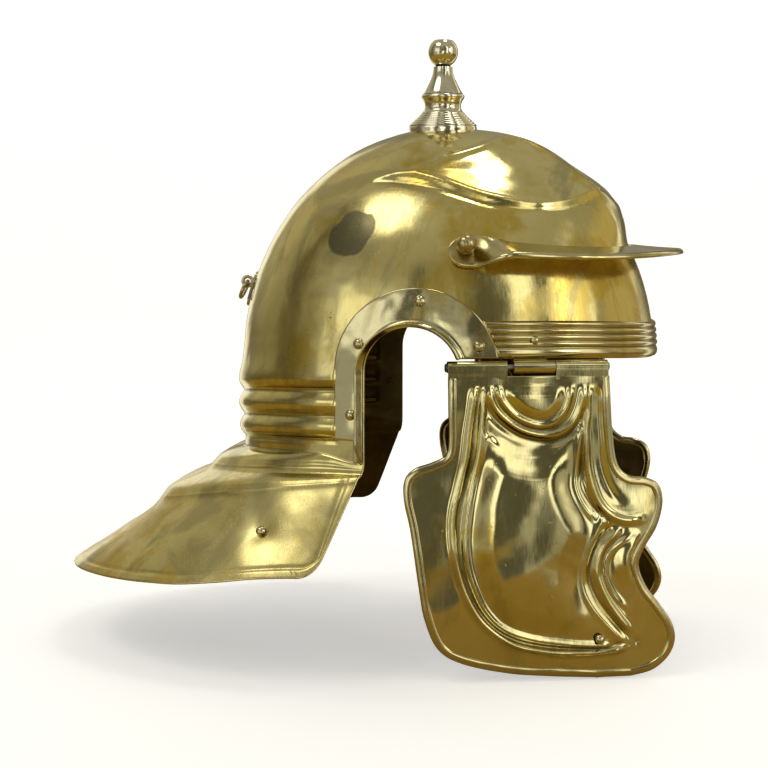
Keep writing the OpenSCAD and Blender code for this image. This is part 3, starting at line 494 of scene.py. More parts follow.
def guard_shares(c, rows):
    """Shares of the way to the edge: finer at the foot of each step and along the flange."""
    f0, f1 = step_shares(c)
    a, b = rows // 4, rows // 3
    rest = rows - a - b
    e = np.linspace(0, 1, rest + 1)[1:]
    e = mix(e, 1 - (1 - e) ** 2, 0.55)
    return np.concatenate([
        f0 * sind(90 * np.arange(1, a + 1) / a),
        mix(f0, f1, sind(90 * np.arange(1, b + 1) / b)),
        mix(f1, 1, e)])


# ---------- bowl ----------
FRONT_COLS, EAR_COLS, REAR_COLS = 104, 44, 78
CROWN_ROWS, LOW_ROWS, NAPE_ROWS, GUARD_ROWS = 108, 26, 52, 84


def bowl_columns():
    """Angle and lower edge of every column of the right half, front to back."""
    foot = math.asin((RIM_SIDE - EAR_Z) / ARCH_R)
    foot_psi = math.degrees(math.acos((EAR_X + ARCH_R * math.cos(foot)) / (BOWL_A * girth(RIM_SIDE))))
    front = np.linspace(0, foot_psi, FRONT_COLS, endpoint=False)
    phi = np.linspace(math.degrees(foot), 180, EAR_COLS, endpoint=False)
    x, z = EAR_X + ARCH_R * cosd(phi), EAR_Z + ARCH_R * sind(phi)
    ear = np.degrees(np.arccos(x / (BOWL_A * girth(z))))
    rear = LEG_PSI + (180 - LEG_PSI) * np.linspace(0, 1, REAR_COLS) ** 1.25
    return np.concatenate([front, ear, rear]), np.concatenate([rim_z(front), z, np.full(REAR_COLS, EAR_Z)])


def crown(psi, rows):
    """Base points from the hole under the knob down to the break line, columns along the second axis."""
    lat = np.linspace(89.0, np.degrees(math.asin(BREAK_Z / BOWL_H)), rows)[:, None]
    share = (cosd(lat) - cosd(89.0)) / (girth(BREAK_Z) - cosd(89.0))
    hole = np.stack([KNOB_X + KNOB_HOLE_R * cosd(psi), KNOB_HOLE_R * sind(psi)], -1)
    edge = np.stack([BOWL_A * girth(BREAK_Z) * cosd(psi), BOWL_B * girth(BREAK_Z) * sind(psi)], -1)
    plan = mix(hole[None], edge[None], share[..., None])
    return skin_xy(plan[..., 0], plan[..., 1])


def bowl_relief(base):
    psi = np.degrees(np.arctan2(np.abs(base[..., 1]) / BOWL_B, base[..., 0] / BOWL_A))
    lat = np.degrees(np.arcsin(np.clip(base[..., 2] / BOWL_H, -1, 1)))
    h = eyebrow(base) * smooth((lat - 26) / 8) + forehead(psi, lat) * (lat > 0)
    return h + nape(base[..., 0], base[..., 2]) + hammer(base, 75, 0.16, 4)


def make_bowl(material):
    psi_half, edge_half = bowl_columns()
    psi = np.concatenate([psi_half, 360 - psi_half[-2:0:-1]])
    edge = np.concatenate([edge_half, edge_half[-2:0:-1]])
    cols = len(psi)
    base, normal = crown(psi, CROWN_ROWS)
    low_z = mix(BREAK_Z, edge[None], np.linspace(0, 1, LOW_ROWS + 1)[1:, None])
    low_base, low_normal = skin_at(psi, low_z)
    base, normal = np.concatenate([base, low_base]), np.concatenate([normal, low_normal])
    top = base + bowl_relief(base)[..., None] * normal

    folded = np.where(psi > 180, 360 - psi, psi)
    c = np.clip((180 - folded) / (180 - LEG_PSI), 0, 1)
    rear = folded >= LEG_PSI - 1e-6
    side = np.where(psi > 180, -1.0, 1.0)
    end_z = guard_base(c)[:, 2]
    z = mix(EAR_Z, end_z[None], np.linspace(0, 1, NAPE_ROWS + 1)[1:, None])
    nape_base, nape_normal = skin_xy(
        np.broadcast_to(BOWL_A * cosd(psi), z.shape), np.broadcast_to(BOWL_B * sind(psi), z.shape), z)
    h = nape(nape_base[..., 0], z) + hammer(nape_base, 75, 0.16, 4)
    wall = nape_base + h[..., None] * nape_normal

    w = np.stack([guard_shares(v, GUARD_ROWS) for v in c], 1)
    cc = np.broadcast_to(c, w.shape)
    plate = guard_point(cc, w)
    length = np.linalg.norm(guard_edge(cc) - guard_base(cc), axis=-1)
    near = (1 - w) * length
    leg = 62 * (1 - cc)
    edge_gap = np.minimum(near, leg + 2.5)
    lift = 0.35 * smooth((FLANGE_W + 0.9 - edge_gap) / 1.0) - 0.45 * bump(edge_gap - FLANGE_W - 1.1, 0.9)
    tie = guard_point(TIE_C, TIE_W)
    lift = lift - 1.1 * bump(np.linalg.norm(plate - tie, axis=-1), 6.5)
    lift = lift + hammer(plate, 60, 0.35, 9) * smooth(w / 0.2)
    plate = plate + (lift * smooth(w / 0.25))[..., None] * guard_normal(cc, w)
    plate = plate * np.stack([np.ones(cols), side, np.ones(cols)], -1)

    grid = np.concatenate([top, wall, plate])
    rows = len(grid)
    last_top = len(top) - 1
    faces = grid_faces(rows, cols, closed=True,
                       keep=lambda i, j: (i < last_top) | (rear[j] & rear[(j + 1) % cols]))
    points, faces = thicken(grid.reshape(-1, 3), faces, SHEET, lambda p: p - np.array([-20, 0, -60]))
    return finish_piece("bowl_shell", points, faces, material, HELMET, "bowl_brass", ["bowl"], 4)


# ---------- ear guards ----------
def ear_stations():
    """Rows of (outer x, outer z, inner x, inner z, lip height) round the arch, down the leg and the tail."""
    front_o = math.degrees(math.asin((RIM_SIDE + 0.2 - STRIP_Z) / STRIP_R))
    front_i = math.degrees(math.asin((RIM_SIDE + 0.2 - EAR_Z) / EAR_R))
    t = np.linspace(0, 1, 130)
    po, pi = mix(front_o, 180, t), mix(front_i, 180, t)
    arc = np.stack([STRIP_X + STRIP_R * cosd(po), STRIP_Z + STRIP_R * sind(po),
                    EAR_X + EAR_R * cosd(pi), EAR_Z + EAR_R * sind(pi), np.full(t.shape, EAR_LIP)], -1)
    z = np.linspace(EAR_Z, STRIP_END_Z, 40)[1:]
    leg = np.stack([np.full(z.shape, STRIP_X - STRIP_R), z, np.full(z.shape, EAR_X - EAR_R), z,
                    np.full(z.shape, EAR_LIP)], -1)
    k = np.linspace(0, 1, 22)[1:]
    z = mix(STRIP_END_Z, LIP_END_Z, k)
    tail = np.stack([np.full(z.shape, STRIP_X - STRIP_R), z, np.full(z.shape, EAR_X - EAR_R), z,
                     mix(EAR_LIP, 3.6, k**2)], -1)
    return np.concatenate([arc, leg, tail]), len(arc) + len(leg)


def make_ear_guards(material):
    stations, strip_rows = ear_stations()
    strip_cols, flare_cols, lip_cols = 26, 14, 8
    full = FLARE + SHEET
    rows = []
    for ox, oz, ix, iz, lip in stations:
        w = math.hypot(ox - ix, oz - iz)
        t = np.linspace(1, 0, strip_cols, endpoint=False)
        a = np.linspace(0, 90, flare_cols)
        up = np.linspace(0, 1, lip_cols)[1:]
        top = EAR_GAP + max(lip, full + 0.1)
        dist = np.concatenate([full + (w - full) * t, full - FLARE * sind(a), np.full(len(up), SHEET)])
        face = SHEET + EAR_GAP
        flare = face + FLARE * (1 - cosd(a))
        high = np.concatenate([np.full(strip_cols, face), flare, mix(face + FLARE, top, up)])
        lean = 0.10 * np.maximum(0, high - full)
        x = ix + (ox - ix) * (dist + lean) / w
        z = iz + (oz - iz) * (dist + lean) / w
        rows.append(skin(x, z, high))
    grid = np.array(rows)
    n, cols = grid.shape[:2]
    faces = grid_faces(n, cols, keep=lambda i, j: (i < strip_rows - 1) | (j >= strip_cols - 2))
    points, faces = thicken(grid.reshape(-1, 3), faces, SHEET, lambda p: p * np.array([0, 1, 0]))
    for side_name, side in SIDES:
        nodes = ["ear_guard_" + side_name]
        finish_piece("ear_arch_" + side_name, flipped(points, side), faces, material, HELMET,
                     "polished_brass", nodes, 2)


# ---------- brow guard ----------
def brow_guard_frame(psi):
    a = np.abs(psi)
    z = mix(LEVEL_FRONT, LEVEL_SIDE, sind(a) ** 6)
    base, n = skin_at(a, z)
    up = unit(np.array([0, 0, 1.0]) - n[..., 2:] * n)
    twist = np.minimum(90, 28 * (a / 76) ** 1.9 + 62 * smooth((a - 68) / 12))[..., None]
    level = unit(np.concatenate([n[..., :2], mix(-0.07, n[..., 2:], twist / 90)], -1))
    across = cosd(twist) * level - sind(twist) * up
    thick = unit(sind(twist) * n + cosd(twist) * up)
    width = mix(REACH, TAB_W, smooth(a / 76))
    end = np.clip((a - TAB_PSI) / (TAB_END_PSI - TAB_PSI), 0, 0.9999)
    short = width * np.where(a > TAB_PSI, np.sqrt(1 - end**2), 1)
    turn = twist[..., 0]
    lift = PLATE_GAP + width / 2 * cosd(turn) + GUARD_T / 2 * sind(turn) + 1.2 * sind(2 * turn)
    return base + lift[..., None] * n, across, thick, short


def make_brow_guard(material):
    steps = 300
    u = np.linspace(-1, 1, 2 * steps + 1)
    ease = np.sign(u) * (1 - (1 - np.abs(u)) ** 1.35)
    psi = TAB_END_PSI * mix(u, ease, 0.5)
    psi[[0, -1]] = [-TAB_END_PSI * 0.99985, TAB_END_PSI * 0.99985]
    middle, across, thick, width = brow_guard_frame(psi)
    edge = np.linspace(0, 180, 9)
    flat = np.linspace(1, -1, 12)[1:-1]
    loops = []
    for k in range(len(psi)):
        t = min(GUARD_T, width[k])
        half = max(width[k] / 2 - t / 2, 0)
        v = np.concatenate([half + t / 2 * sind(edge), half * flat, -half - t / 2 * sind(edge), -half * flat])
        face = np.full(len(flat), t / 2)
        s = np.concatenate([t / 2 * cosd(edge), -face, -t / 2 * cosd(edge), face])
        v, s = v[::-1], s[::-1]
        s = s - BROW_DISH * (1 - (2 * v / max(width[k], 1)) ** 2)
        loops.append(middle[k] + v[:, None] * across[k] + s[:, None] * thick[k])
    points = np.array(loops) * np.where(psi < 0, -1, 1)[:, None, None] ** np.array([0, 1, 0])
    points, faces = sweep(points)
    return finish_piece("brow_guard_plate", points, faces, material, HELMET, "trim_brass", ["brow_guard"], 2)


# ---------- ribbed band ----------
def band_profile(steps):
    """Closed section as (share of the height, height above the bowl): a broad rib below four narrow ones."""
    ribs = [(0.0, 0.28, 1.0)] + [(0.28 + 0.18 * k, 0.46 + 0.18 * k, 1.15) for k in range(4)]
    out = [(0.0, 0.3)]
    for low, high, h in ribs:
        t = np.linspace(0, 1, steps)
        out += list(zip(mix(low, high, t), 1.1 + h * np.abs(sind(180 * t)) ** 0.7))
    out.append((1.0, 0.3))
    return np.array(out)


def make_band(material):
    profile = band_profile(10)
    v, q = profile[:, 0], profile[:, 1]
    z = RIM_SIDE + BAND_H * v
    end_x = STRIP_X + np.sqrt((STRIP_R + 0.4) ** 2 - (z - STRIP_Z) ** 2)
    end = np.degrees(np.arccos(end_x / (BOWL_A * girth(z))))
    u = np.linspace(-1, 1, 281)[:, None]
    psi = end[None] * u
    points = round_skin(np.abs(psi), rim_z(psi) + BAND_H * v[None] + 0.1, np.broadcast_to(q, psi.shape))
    points[..., 1] *= np.where(psi < 0, -1, 1)
    points, faces = sweep(points)
    return finish_piece("brow_band_strip", points, faces, material, HELMET, "trim_brass", ["brow_band"], 1)


# ---------- cheek plates ----------
REAR_EDGE = (
    (-17, -4.8), (-16.8, -20), (-16.4, -37), (-18, -44.4), (-25, -47.9), (-33.5, -50.8), (-38.6, -56.5),
    (-39, -67), (-35.5, -84), (-31.4, -112), (-28.3, -129), (-21.5, -144.5), (-9, -152.6), (15, -158.5),
    (38, -160.9), (62, -162.4))
FRONT_EDGE = (
    (66.3, -4.8), (67, -18), (68.5, -34), (71.4, -49.8), (77.5, -56.4), (86.5, -57.8), (93.5, -61.5),
    (96, -70.5), (93.2, -83.2), (86.5, -95), (83.8, -103.5), (87.7, -114.3), (95.2, -124.3), (102, -134.3),
    (104, -143.5), (100.5, -152.5), (92, -159.5), (80, -162.4))
# Embossed lines of the plate
OUTER_BEAD = (
    (-3.6, -9), (-4.3, -15.6), (-6.4, -31.5), (-7.6, -45.1), (-10.5, -58.7), (-13.4, -71.1), (-14.2, -82.4),
    (-12.8, -97.3), (-8.8, -112.3), (-2.9, -124.6), (5.2, -134.6), (19.1, -143.8), (37.7, -148),
    (58.6, -148.9), (72.6, -147.8), (79.5, -145.3))
INNER_BEAD = (
    (2.2, -9), (1.1, -15.8), (0.1, -31.7), (-1.2, -45.4), (-4.1, -58.9), (-6.4, -72.5), (-7.6, -88.4),
    (-6.4, -101), (-2.9, -113.2), (3.4, -126), (13.3, -135.5), (28.4, -141.1), (47, -144.2), (63.3, -145.4),
    (73.1, -144.7))
CRESCENT_TOP = (
    (8.4, -9), (9.2, -13), (11, -17.4), (16.8, -23.9), (23.8, -27.9), (30.7, -29.5), (37.7, -27.7),
    (43.3, -21.7), (45.3, -15), (46, -9))
CRESCENT_LOW = (
    (4.4, -9), (4.6, -13.2), (5.8, -17.7), (9.8, -23.6), (16.8, -29.3), (23.8, -32.8), (33.1, -34.7),
    (40, -33.7), (46.4, -29.5), (50.5, -22.6), (52.2, -15.3), (52.4, -9))
FIELD_BROW = (
    (6.3, -34.9), (10.4, -38.5), (16.8, -41.6), (23.8, -43.1), (31.9, -42.7), (38.9, -40.1), (44.1, -36.2),
    (47.6, -32.1))
RIGHT_LINE = (
    (51.9, -24.9), (51.6, -34), (50.5, -45.4), (49.4, -56.7), (49.9, -62.5), (52.2, -68.3), (55.7, -73.9),
    (59.8, -77.9), (63.8, -80.4))
UPPER_CURL = (
    (55.8, -9), (55.4, -15.5), (54.8, -26.2), (54.6, -35.3), (55.6, -49), (57.5, -58.8), (60.9, -68.1),
    (66.2, -75.1), (73.7, -79.1), (80.7, -79.8), (86, -78.6))
CHANNEL = (
    (60.6, -9), (60.7, -17.3), (60.9, -25.3), (61.9, -37.9), (62.7, -48.2), (65, -57.4), (68.5, -64.4),
    (73.1, -69.2), (79.5, -71.2))
FIELD_CURL = (
    (63.8, -80.4), (61.5, -85.8), (56.9, -95.3), (54.2, -106.6), (55.4, -116.3), (60, -125.1),
    (66.7, -133.3), (73.7, -140.5), (79.5, -145.3))
LOWER_CURL = (
    (76, -84.1), (70.2, -87.5), (65, -92.8), (62.1, -100.6), (61.9, -109.2), (66.2, -119.6), (73.7, -130.8),
    (81.3, -140.2))
CUP_ARC = (
    (82.1, -86.7), (76, -89.8), (70.2, -94.7), (66.2, -101.4), (66.3, -109.9), (70.2, -118.1), (77.2, -127))
# Beads along those lines: name, line, height, half width, the ends that fade out
BEADS = (
    ("outer", OUTER_BEAD, 1.9, 1.7, (-1,)), ("inner", INNER_BEAD, 1.8, 1.6, (-1,)),
    ("top", CRESCENT_TOP, 1.5, 1.5, ()), ("low", CRESCENT_LOW, 1.7, 1.5, ()),
    ("brow", FIELD_BROW, 0.5, 1.6, (0, -1)), ("right", RIGHT_LINE, 1.3, 1.6, (0, -1)),
    ("upper", UPPER_CURL, 2.0, 1.7, (-1,)), ("field", FIELD_CURL, 1.1, 1.7, (-1,)),
    ("lower", LOWER_CURL, 2.0, 1.8, (0, -1)), ("cup", CUP_ARC, 0.7, 1.4, (0, -1)))
# Grooves between two beads: their names, how far apart the beads may be, depth
BEAD_GAPS = (
    ("outer", "inner", 8.5, 0.9), ("right", "upper", 9, 0.8), ("field", "lower", 11, 1.0),
    ("top", "low", 8, 0.5))
PLATE_ROWS, PLATE_COLS = 250, 170


def outline_inset(line, d):
    t = np.empty_like(line)
    t[1:-1] = line[2:] - line[:-2]
    t[0], t[-1] = line[1] - line[0], line[-1] - line[-2]
    t = unit(t)
    return line + d * np.stack([-t[:, 1], t[:, 0]], -1)


def cheek_outline(count):
    left = curve(REAR_EDGE, count)
    right = curve(FRONT_EDGE, count)
    return left, right, np.concatenate([left, right[::-1][1:]])


def top_lift(z):
    """The plate's upper part stands forward, level with the face of the knuckles."""
    return TOP_LIFT * smooth((z + 58) / 50)


def plate_relief(p):
    """Embossing of the plate at points (along the hinge, height)."""
    _, _, outline = cheek_outline(80)
    margin = smooth((line_distance(p, outline) - 4.0) / 2.6)
    top = smooth((-8.5 - p[..., 1]) / 6.5)
    field = np.concatenate([curve(INNER_BEAD[2:], 70), curve(FIELD_CURL, 50)[:-3][::-1],
                            curve(RIGHT_LINE, 50)[::-1], curve(FIELD_BROW, 40)[::-1]])
    within = inside(p, field)
    d_field = line_distance(p, np.concatenate([field, field[:1]])) * np.where(within, 1, -1)
    belly = 1 - ((p[..., 1] + 80) / 66) ** 2 - 0.35 * ((p[..., 0] - 22) / 36) ** 2
    h = smooth((d_field + 0.6) / 3.2)
    paths = {}
    for name, line, height, width, ends in BEADS:
        path = curve(line, 60)
        d = line_distance(p, path)
        taper = np.ones(d.shape)
        for k in ends:
            taper = np.minimum(taper, smooth(np.linalg.norm(p - path[k], axis=-1) / 8))
        h = h + height * bump(d, width) * taper
        paths[name] = (d, taper)
    rise = np.prod([smooth(paths[name][0] / 15) for name in ("inner", "brow", "right", "field")], axis=0)
    h = h + (0.7 + 3.4 * np.maximum(belly, 0)) * rise * (d_field > 0)
    for a, b, reach, depth in BEAD_GAPS:
        (da, ta), (db, tb) = paths[a], paths[b]
        h = h - depth * bump(da - db, 2.6) * smooth((reach - da - db) / 2.5) * ta * tb
    low, moon, channel = curve(CRESCENT_LOW, 60), curve(CRESCENT_TOP, 60), curve(CHANNEL, 50)
    h = h - 0.9 * bump(paths["low"][0] - 3.6, 1.7) * ~inside(p, low) * smooth((p[..., 1] + 44) / 6)
    to_end = np.linalg.norm(p - channel[-1], axis=-1)
    h = h - 0.7 * bump(line_distance(p, channel), 2.2) * smooth(to_end / 14)
    # A pillow inside the crescent and another behind the lower curl
    h = h + 1.5 * smooth((line_distance(p, moon) * np.where(inside(p, moon), 1, -1) - 1.4) / 6)
    cup = np.linalg.norm((p - np.array([79, -99])) / np.array([8.5, 14]), axis=-1)
    h = h + 1.3 * smooth((1.2 - cup) / 0.9)
    return h * margin * top


def hinge_space(p, side):
    """Points (along the pin, outwards, up from the pin) of one side's hinge in the helmet's frame."""
    c, s = math.cos(math.radians(HINGE_ANGLE)), math.sin(math.radians(HINGE_ANGLE))
    x, out, z = p[..., 0], p[..., 1], p[..., 2]
    y = -HINGE_OFF - out
    world = np.stack([x * c - y * s, x * s + y * c, z + HINGE_Z], -1)
    return flipped(world, side)


def fold_section():
    """Section of the folded edge as (distance from the plate's edge, height), with a slot for the sheet."""
    a = np.linspace(-78, 78, 15)
    nose = np.stack([1.5 - 1.55 * cosd(a), -1.5 * sind(a)], -1)
    w, slot_h = BINDING_W, SHEET / 2 + 0.06
    lip = np.array([(w, slot_h), (w, 1.0), (w - 0.35, 1.42), (w - 1.3, 1.55), (2.4, 1.5)])
    slot = np.array([(3.0, -slot_h), (2.0, -slot_h), (1.2, -slot_h), (0.75, -0.3)])
    mirror = np.array([1, -1])
    return np.concatenate([lip, nose, lip[::-1] * mirror, slot, slot[::-1] * mirror, [(3.6, slot_h)]])


def make_cheek_plates(material, edge_material):
    left, _, outline = cheek_outline(PLATE_ROWS)
    t = np.linspace(0, 1, PLATE_COLS + 1)
    inner = outline_inset(outline, 1.0)
    inner_left, inner_right = inner[:len(left)], inner[len(left) - 1:][::-1]
    grid = mix(inner_left[:, None], inner_right[:, None], t[None, :, None])
    relief = plate_relief(grid) + top_lift(grid[..., 1])
    relief = relief + hammer(np.concatenate([grid, np.zeros(grid.shape[:2] + (1,))], -1), 40, 0.18, 12)
    local = np.stack([grid[..., 0], relief + SHEET / 2, grid[..., 1]], -1)
    faces = grid_faces(*local.shape[:2])
    points, faces = thicken(local.reshape(-1, 3), faces, SHEET, lambda p: np.array([0, 1, 0]))

    path = even(outline, 420)
    tangent = unit(np.gradient(path, axis=0))
    inward = np.stack([-tangent[:, 1], tangent[:, 0]], -1)
    section = fold_section()
    rng = np.random.default_rng(5)
    weights = np.hanning(17) / np.hanning(17).sum()
    wave = np.convolve(rng.normal(0, 1, len(path) + 16), weights, "valid")
    across = path[:, None] + (section[None, :, :1] * (1 + 0.05 * wave[:, None, None])) * inward[:, None]
    # Near the pin the fold lies lower, so that it passes under the ear guard's lip when the plate is up
    lift = (top_lift(path[:, 1]) - 0.65 * smooth((path[:, 1] + 15) / 8))[:, None] + 0.1 * wave[:, None]
    fold_points, fold_faces = sweep(np.stack([across[..., 0], section[:, 1] + lift, across[..., 1]], -1))

    knuckle_points, knuckle_faces = knuckle_mesh()
    for side_name, side in SIDES:
        name, body = "cheek_" + side_name, side_name + "_cheek"
        finish_piece(name + "_sheet", hinge_space(points, side), faces, material, body, "polished_brass",
                     ["cheek_plate_" + side_name], 2)
        finish_piece(name + "_fold", hinge_space(fold_points, side), fold_faces, edge_material, body,
                     "trim_brass", ["cheek_binding_" + side_name], 1)
        rolled = finish_piece(name + "_knuckles", hinge_space(knuckle_points, side), knuckle_faces, material,
                              body, "polished_brass", sharp=35)
        bevel = rolled.modifiers.new("edges", "BEVEL")
        bevel.width, bevel.segments = 0.25 * MM, 2
        bevel.limit_method, bevel.angle_limit = "ANGLE", math.radians(50)


def knuckle_mesh():
    """The plate's top rolled round the pin, one roll for each knuckle."""
    roll = np.linspace(0, 236, 26)
    t = np.linspace(0, 1, 8)
    front = np.stack([mix(TOP_LIFT + SHEET / 2, KNUCKLE_R, smooth(t)), mix(KNUCKLE_FOOT, -0.6, t)], -1)
    inner_face = TOP_LIFT - SHEET / 2
    back = [(inner_face - 0.25, -1.7), (inner_face, -3.4), (inner_face, KNUCKLE_FOOT),
            (TOP_LIFT + 0.275, KNUCKLE_FOOT)]
    loop = np.concatenate([front, arc((0, 0), KNUCKLE_R, roll), arc((0, 0), PIN_HOLE_R, roll[::-1]), back])
    parts = []
    for low, high in KNUCKLES:
        along = np.linspace(low, high, 24)[:, None, None]
        loops = np.concatenate([along + 0 * loop[:, :1], loop + 0 * along], -1)
        parts.append(sweep(loops))
    return merge(parts)


# ---------- crest knob ----------
BALL_Z, BALL_R, CREST_BORE_R = 168.4, 8.35, 1.25


def knob_profile():
    """Ball, cone, collar, waist and a foot with stepped rings, top to bottom, as (radius, height)."""
    top = [(0.02, 175.1), (4.6, 175.0), (5.5, 174.6)]
    ball = arc((0, BALL_Z), BALL_R, np.linspace(48, -62, 26))
    neck = [(4.4, 160.6), (5.35, 160.3), (5.35, 159.2)]
    cone = curve(((5.35, 159.2), (5.7, 157), (6.7, 154), (8.5, 150.2), (10.3, 146.9), (11.2, 145.6)), 24)[1:]
    collar = [(11.0, 145.3), (11.5, 145.1), (12.0, 144.6), (12.1, 143.9), (11.9, 143.2), (11.3, 142.4)]
    waist = curve(((11.3, 142.4), (10.4, 140.6), (10.1, 138.6), (10.5, 136.8), (11.3, 135.6)), 16)[1:]
    rings, r, z = [], 11.3, 135.6
    turn = np.array([15, 40, 65, 90])
    for out, down in ((0.9, 1.25), (1.1, 1.3), (1.45, 1.35), (1.5, 1.3), (1.35, 1.2), (1.2, 1.15)):
        radius = r + out * sind(turn) + 0.12 * sind(2 * turn)
        rings.append(np.stack([radius, z - down * (1 - cosd(turn)) - 0.1], -1))
        r, z = r + out, z - down
        rings.append([(r - 0.32, z - 0.16)])
    foot = [(18.9, 127.4), (18.95, 126.4), (18.6, 124.0), (15.0, 123.9), (0.02, 123.9)]
    return np.concatenate([top, ball, neck, cone, collar, waist, *rings, foot])


def make_knob(material):
    points, faces = lathe(knob_profile(), 160, KNOB_X)
    obj = finish_piece("crest_knob_turned", points, faces, material, HELMET, "pale_brass", ["crest_knob"], 1)
    drill_mesh = bpy.data.meshes.new("drill")
    bm = bmesh.new()
    radius, length = CREST_BORE_R * MM, 30 * MM
    bmesh.ops.create_cone(bm, segments=40, radius1=radius, radius2=radius, depth=length, cap_ends=True)
    bmesh.ops.rotate(bm, verts=bm.verts, matrix=Matrix.Rotation(math.pi / 2, 3, "X"))
    bmesh.ops.translate(bm, verts=bm.verts, vec=Vector((KNOB_X, 0, BALL_Z + 0.6)) * MM)
    bm.to_mesh(drill_mesh)
    bm.free()
    drill = bpy.data.objects.new("drill", drill_mesh)
    bpy.context.scene.collection.objects.link(drill)
    cut = obj.modifiers.new("hole", "BOOLEAN")
    cut.operation, cut.object, cut.solver = "DIFFERENCE", drill, "EXACT"
    bpy.context.view_layer.update()
    done = bpy.data.meshes.new_from_object(obj.evaluated_get(bpy.context.evaluated_depsgraph_get()))
    obj.modifiers.clear()
    obj.data = done
    obj.data.set_sharp_from_angle(angle=math.radians(42))
    bpy.data.objects.remove(drill)


# ---------- liner ----------
def lining(psi, z, q):
    g = np.sqrt(np.maximum(0, 1 - (z / (BOWL_H - q)) ** 2))
    return np.stack([(BOWL_A - q) * g * cosd(psi), (BOWL_B - q) * g * sind(psi), z * np.ones_like(g)], -1)


def make_liner(leather, thread, cord):
    columns, rows = 240, 22
    psi = np.linspace(0, 360, columns, endpoint=False)
    z = np.linspace(LINER_LOW, LINER_HIGH, rows)[:, None]
    wave = 0.5 * sind(psi * 9 + 30) * sind((z - LINER_LOW) * 5) + 0.25 * sind(psi * 23)
    grid = lining(psi[None], z, LINER_GAP + 0.45 + wave * 0.6)
    faces = grid_faces(rows, columns, closed=True)
    points, faces = thicken(grid.reshape(-1, 3), faces, LEATHER_T - 0.4, lambda p: p * np.array([1, 1, 0]))
    finish_piece("liner_band_leather", points, faces, leather, HELMET, "leather", ["liner_band"], 2)

    tongues = []
    foot = math.degrees(math.asin((LINER_HIGH + 0.5) / (BOWL_H - LINER_GAP - 2)))
    t = np.linspace(0, 1, 30)[:, None]
    u = np.linspace(-1, 1, 19)[None]
    lat = mix(foot, 76, t)
    narrow = np.sqrt(np.maximum(0.03, 1 - np.clip((t - 0.78) / 0.22, 0, 1) ** 2.4))
    for k in range(TONGUES):
        a = 360 / TONGUES * (k + 0.5) + u * mix(20, 15, t) * narrow
        q = LINER_GAP + 0.3 + 0.9 * t * u**2 + 0.35 * sind(200 * t + 60 * u + 40 * k)
        grid = np.stack([(BOWL_A - q) * cosd(lat) * cosd(a), (BOWL_B - q) * cosd(lat) * sind(a),
                         (BOWL_H - q) * sind(lat) * (1 - 0.14 * t * t) * np.ones_like(u)], -1)
        tongues.append(thicken(grid.reshape(-1, 3), grid_faces(30, 19), 1.8, lambda p: p))
    finish_piece(
        "liner_tongue_leather", *merge(tongues), leather, HELMET, "leather", ["liner_tongues"], 2)

    # Stitches along both edges of the band
    stitches = []
    sag = 1 - 0.004 * sind(np.linspace(0, 180, 6))[:, None] * np.array([1, 1, 0])
    for height in (LINER_LOW + 3.2, LINER_HIGH - 3.2):
        for a in np.arange(0, 360, 2.6):
            line = lining(np.linspace(a, a + 1.5, 6), np.full(6, height), LINER_GAP + LEATHER_T + 0.12)
            stitches.append(tube(line * sag, 0.34, 6))
    finish_piece("liner_stitches", *merge(stitches), thread, HELMET, "lace", (), 0)

    a = np.linspace(0, 360, 320, endpoint=False)
    r = 17 + 0.8 * cosd(a * TONGUES)
    ring = np.stack([r * cosd(a), r * sind(a), 97 + 0.9 * sind(a * TONGUES)], -1)
    points, faces = tube(ring, 1.15, 12, closed=True)
    finish_piece("liner_drawstring", points, faces, cord, HELMET, "lace", ["liner_lace"], 0)


# ---------- materials ----------
class Value:
    """A node's output, with arithmetic."""

    def __init__(self, graph, socket):
        self.graph, self.socket = graph, socket

    def __add__(self, other):
        return self.graph.math("ADD", self, other)

    def __sub__(self, other):
        return self.graph.math("SUBTRACT", self, other)

    def __mul__(self, other):
        return self.graph.math("MULTIPLY", self, other)


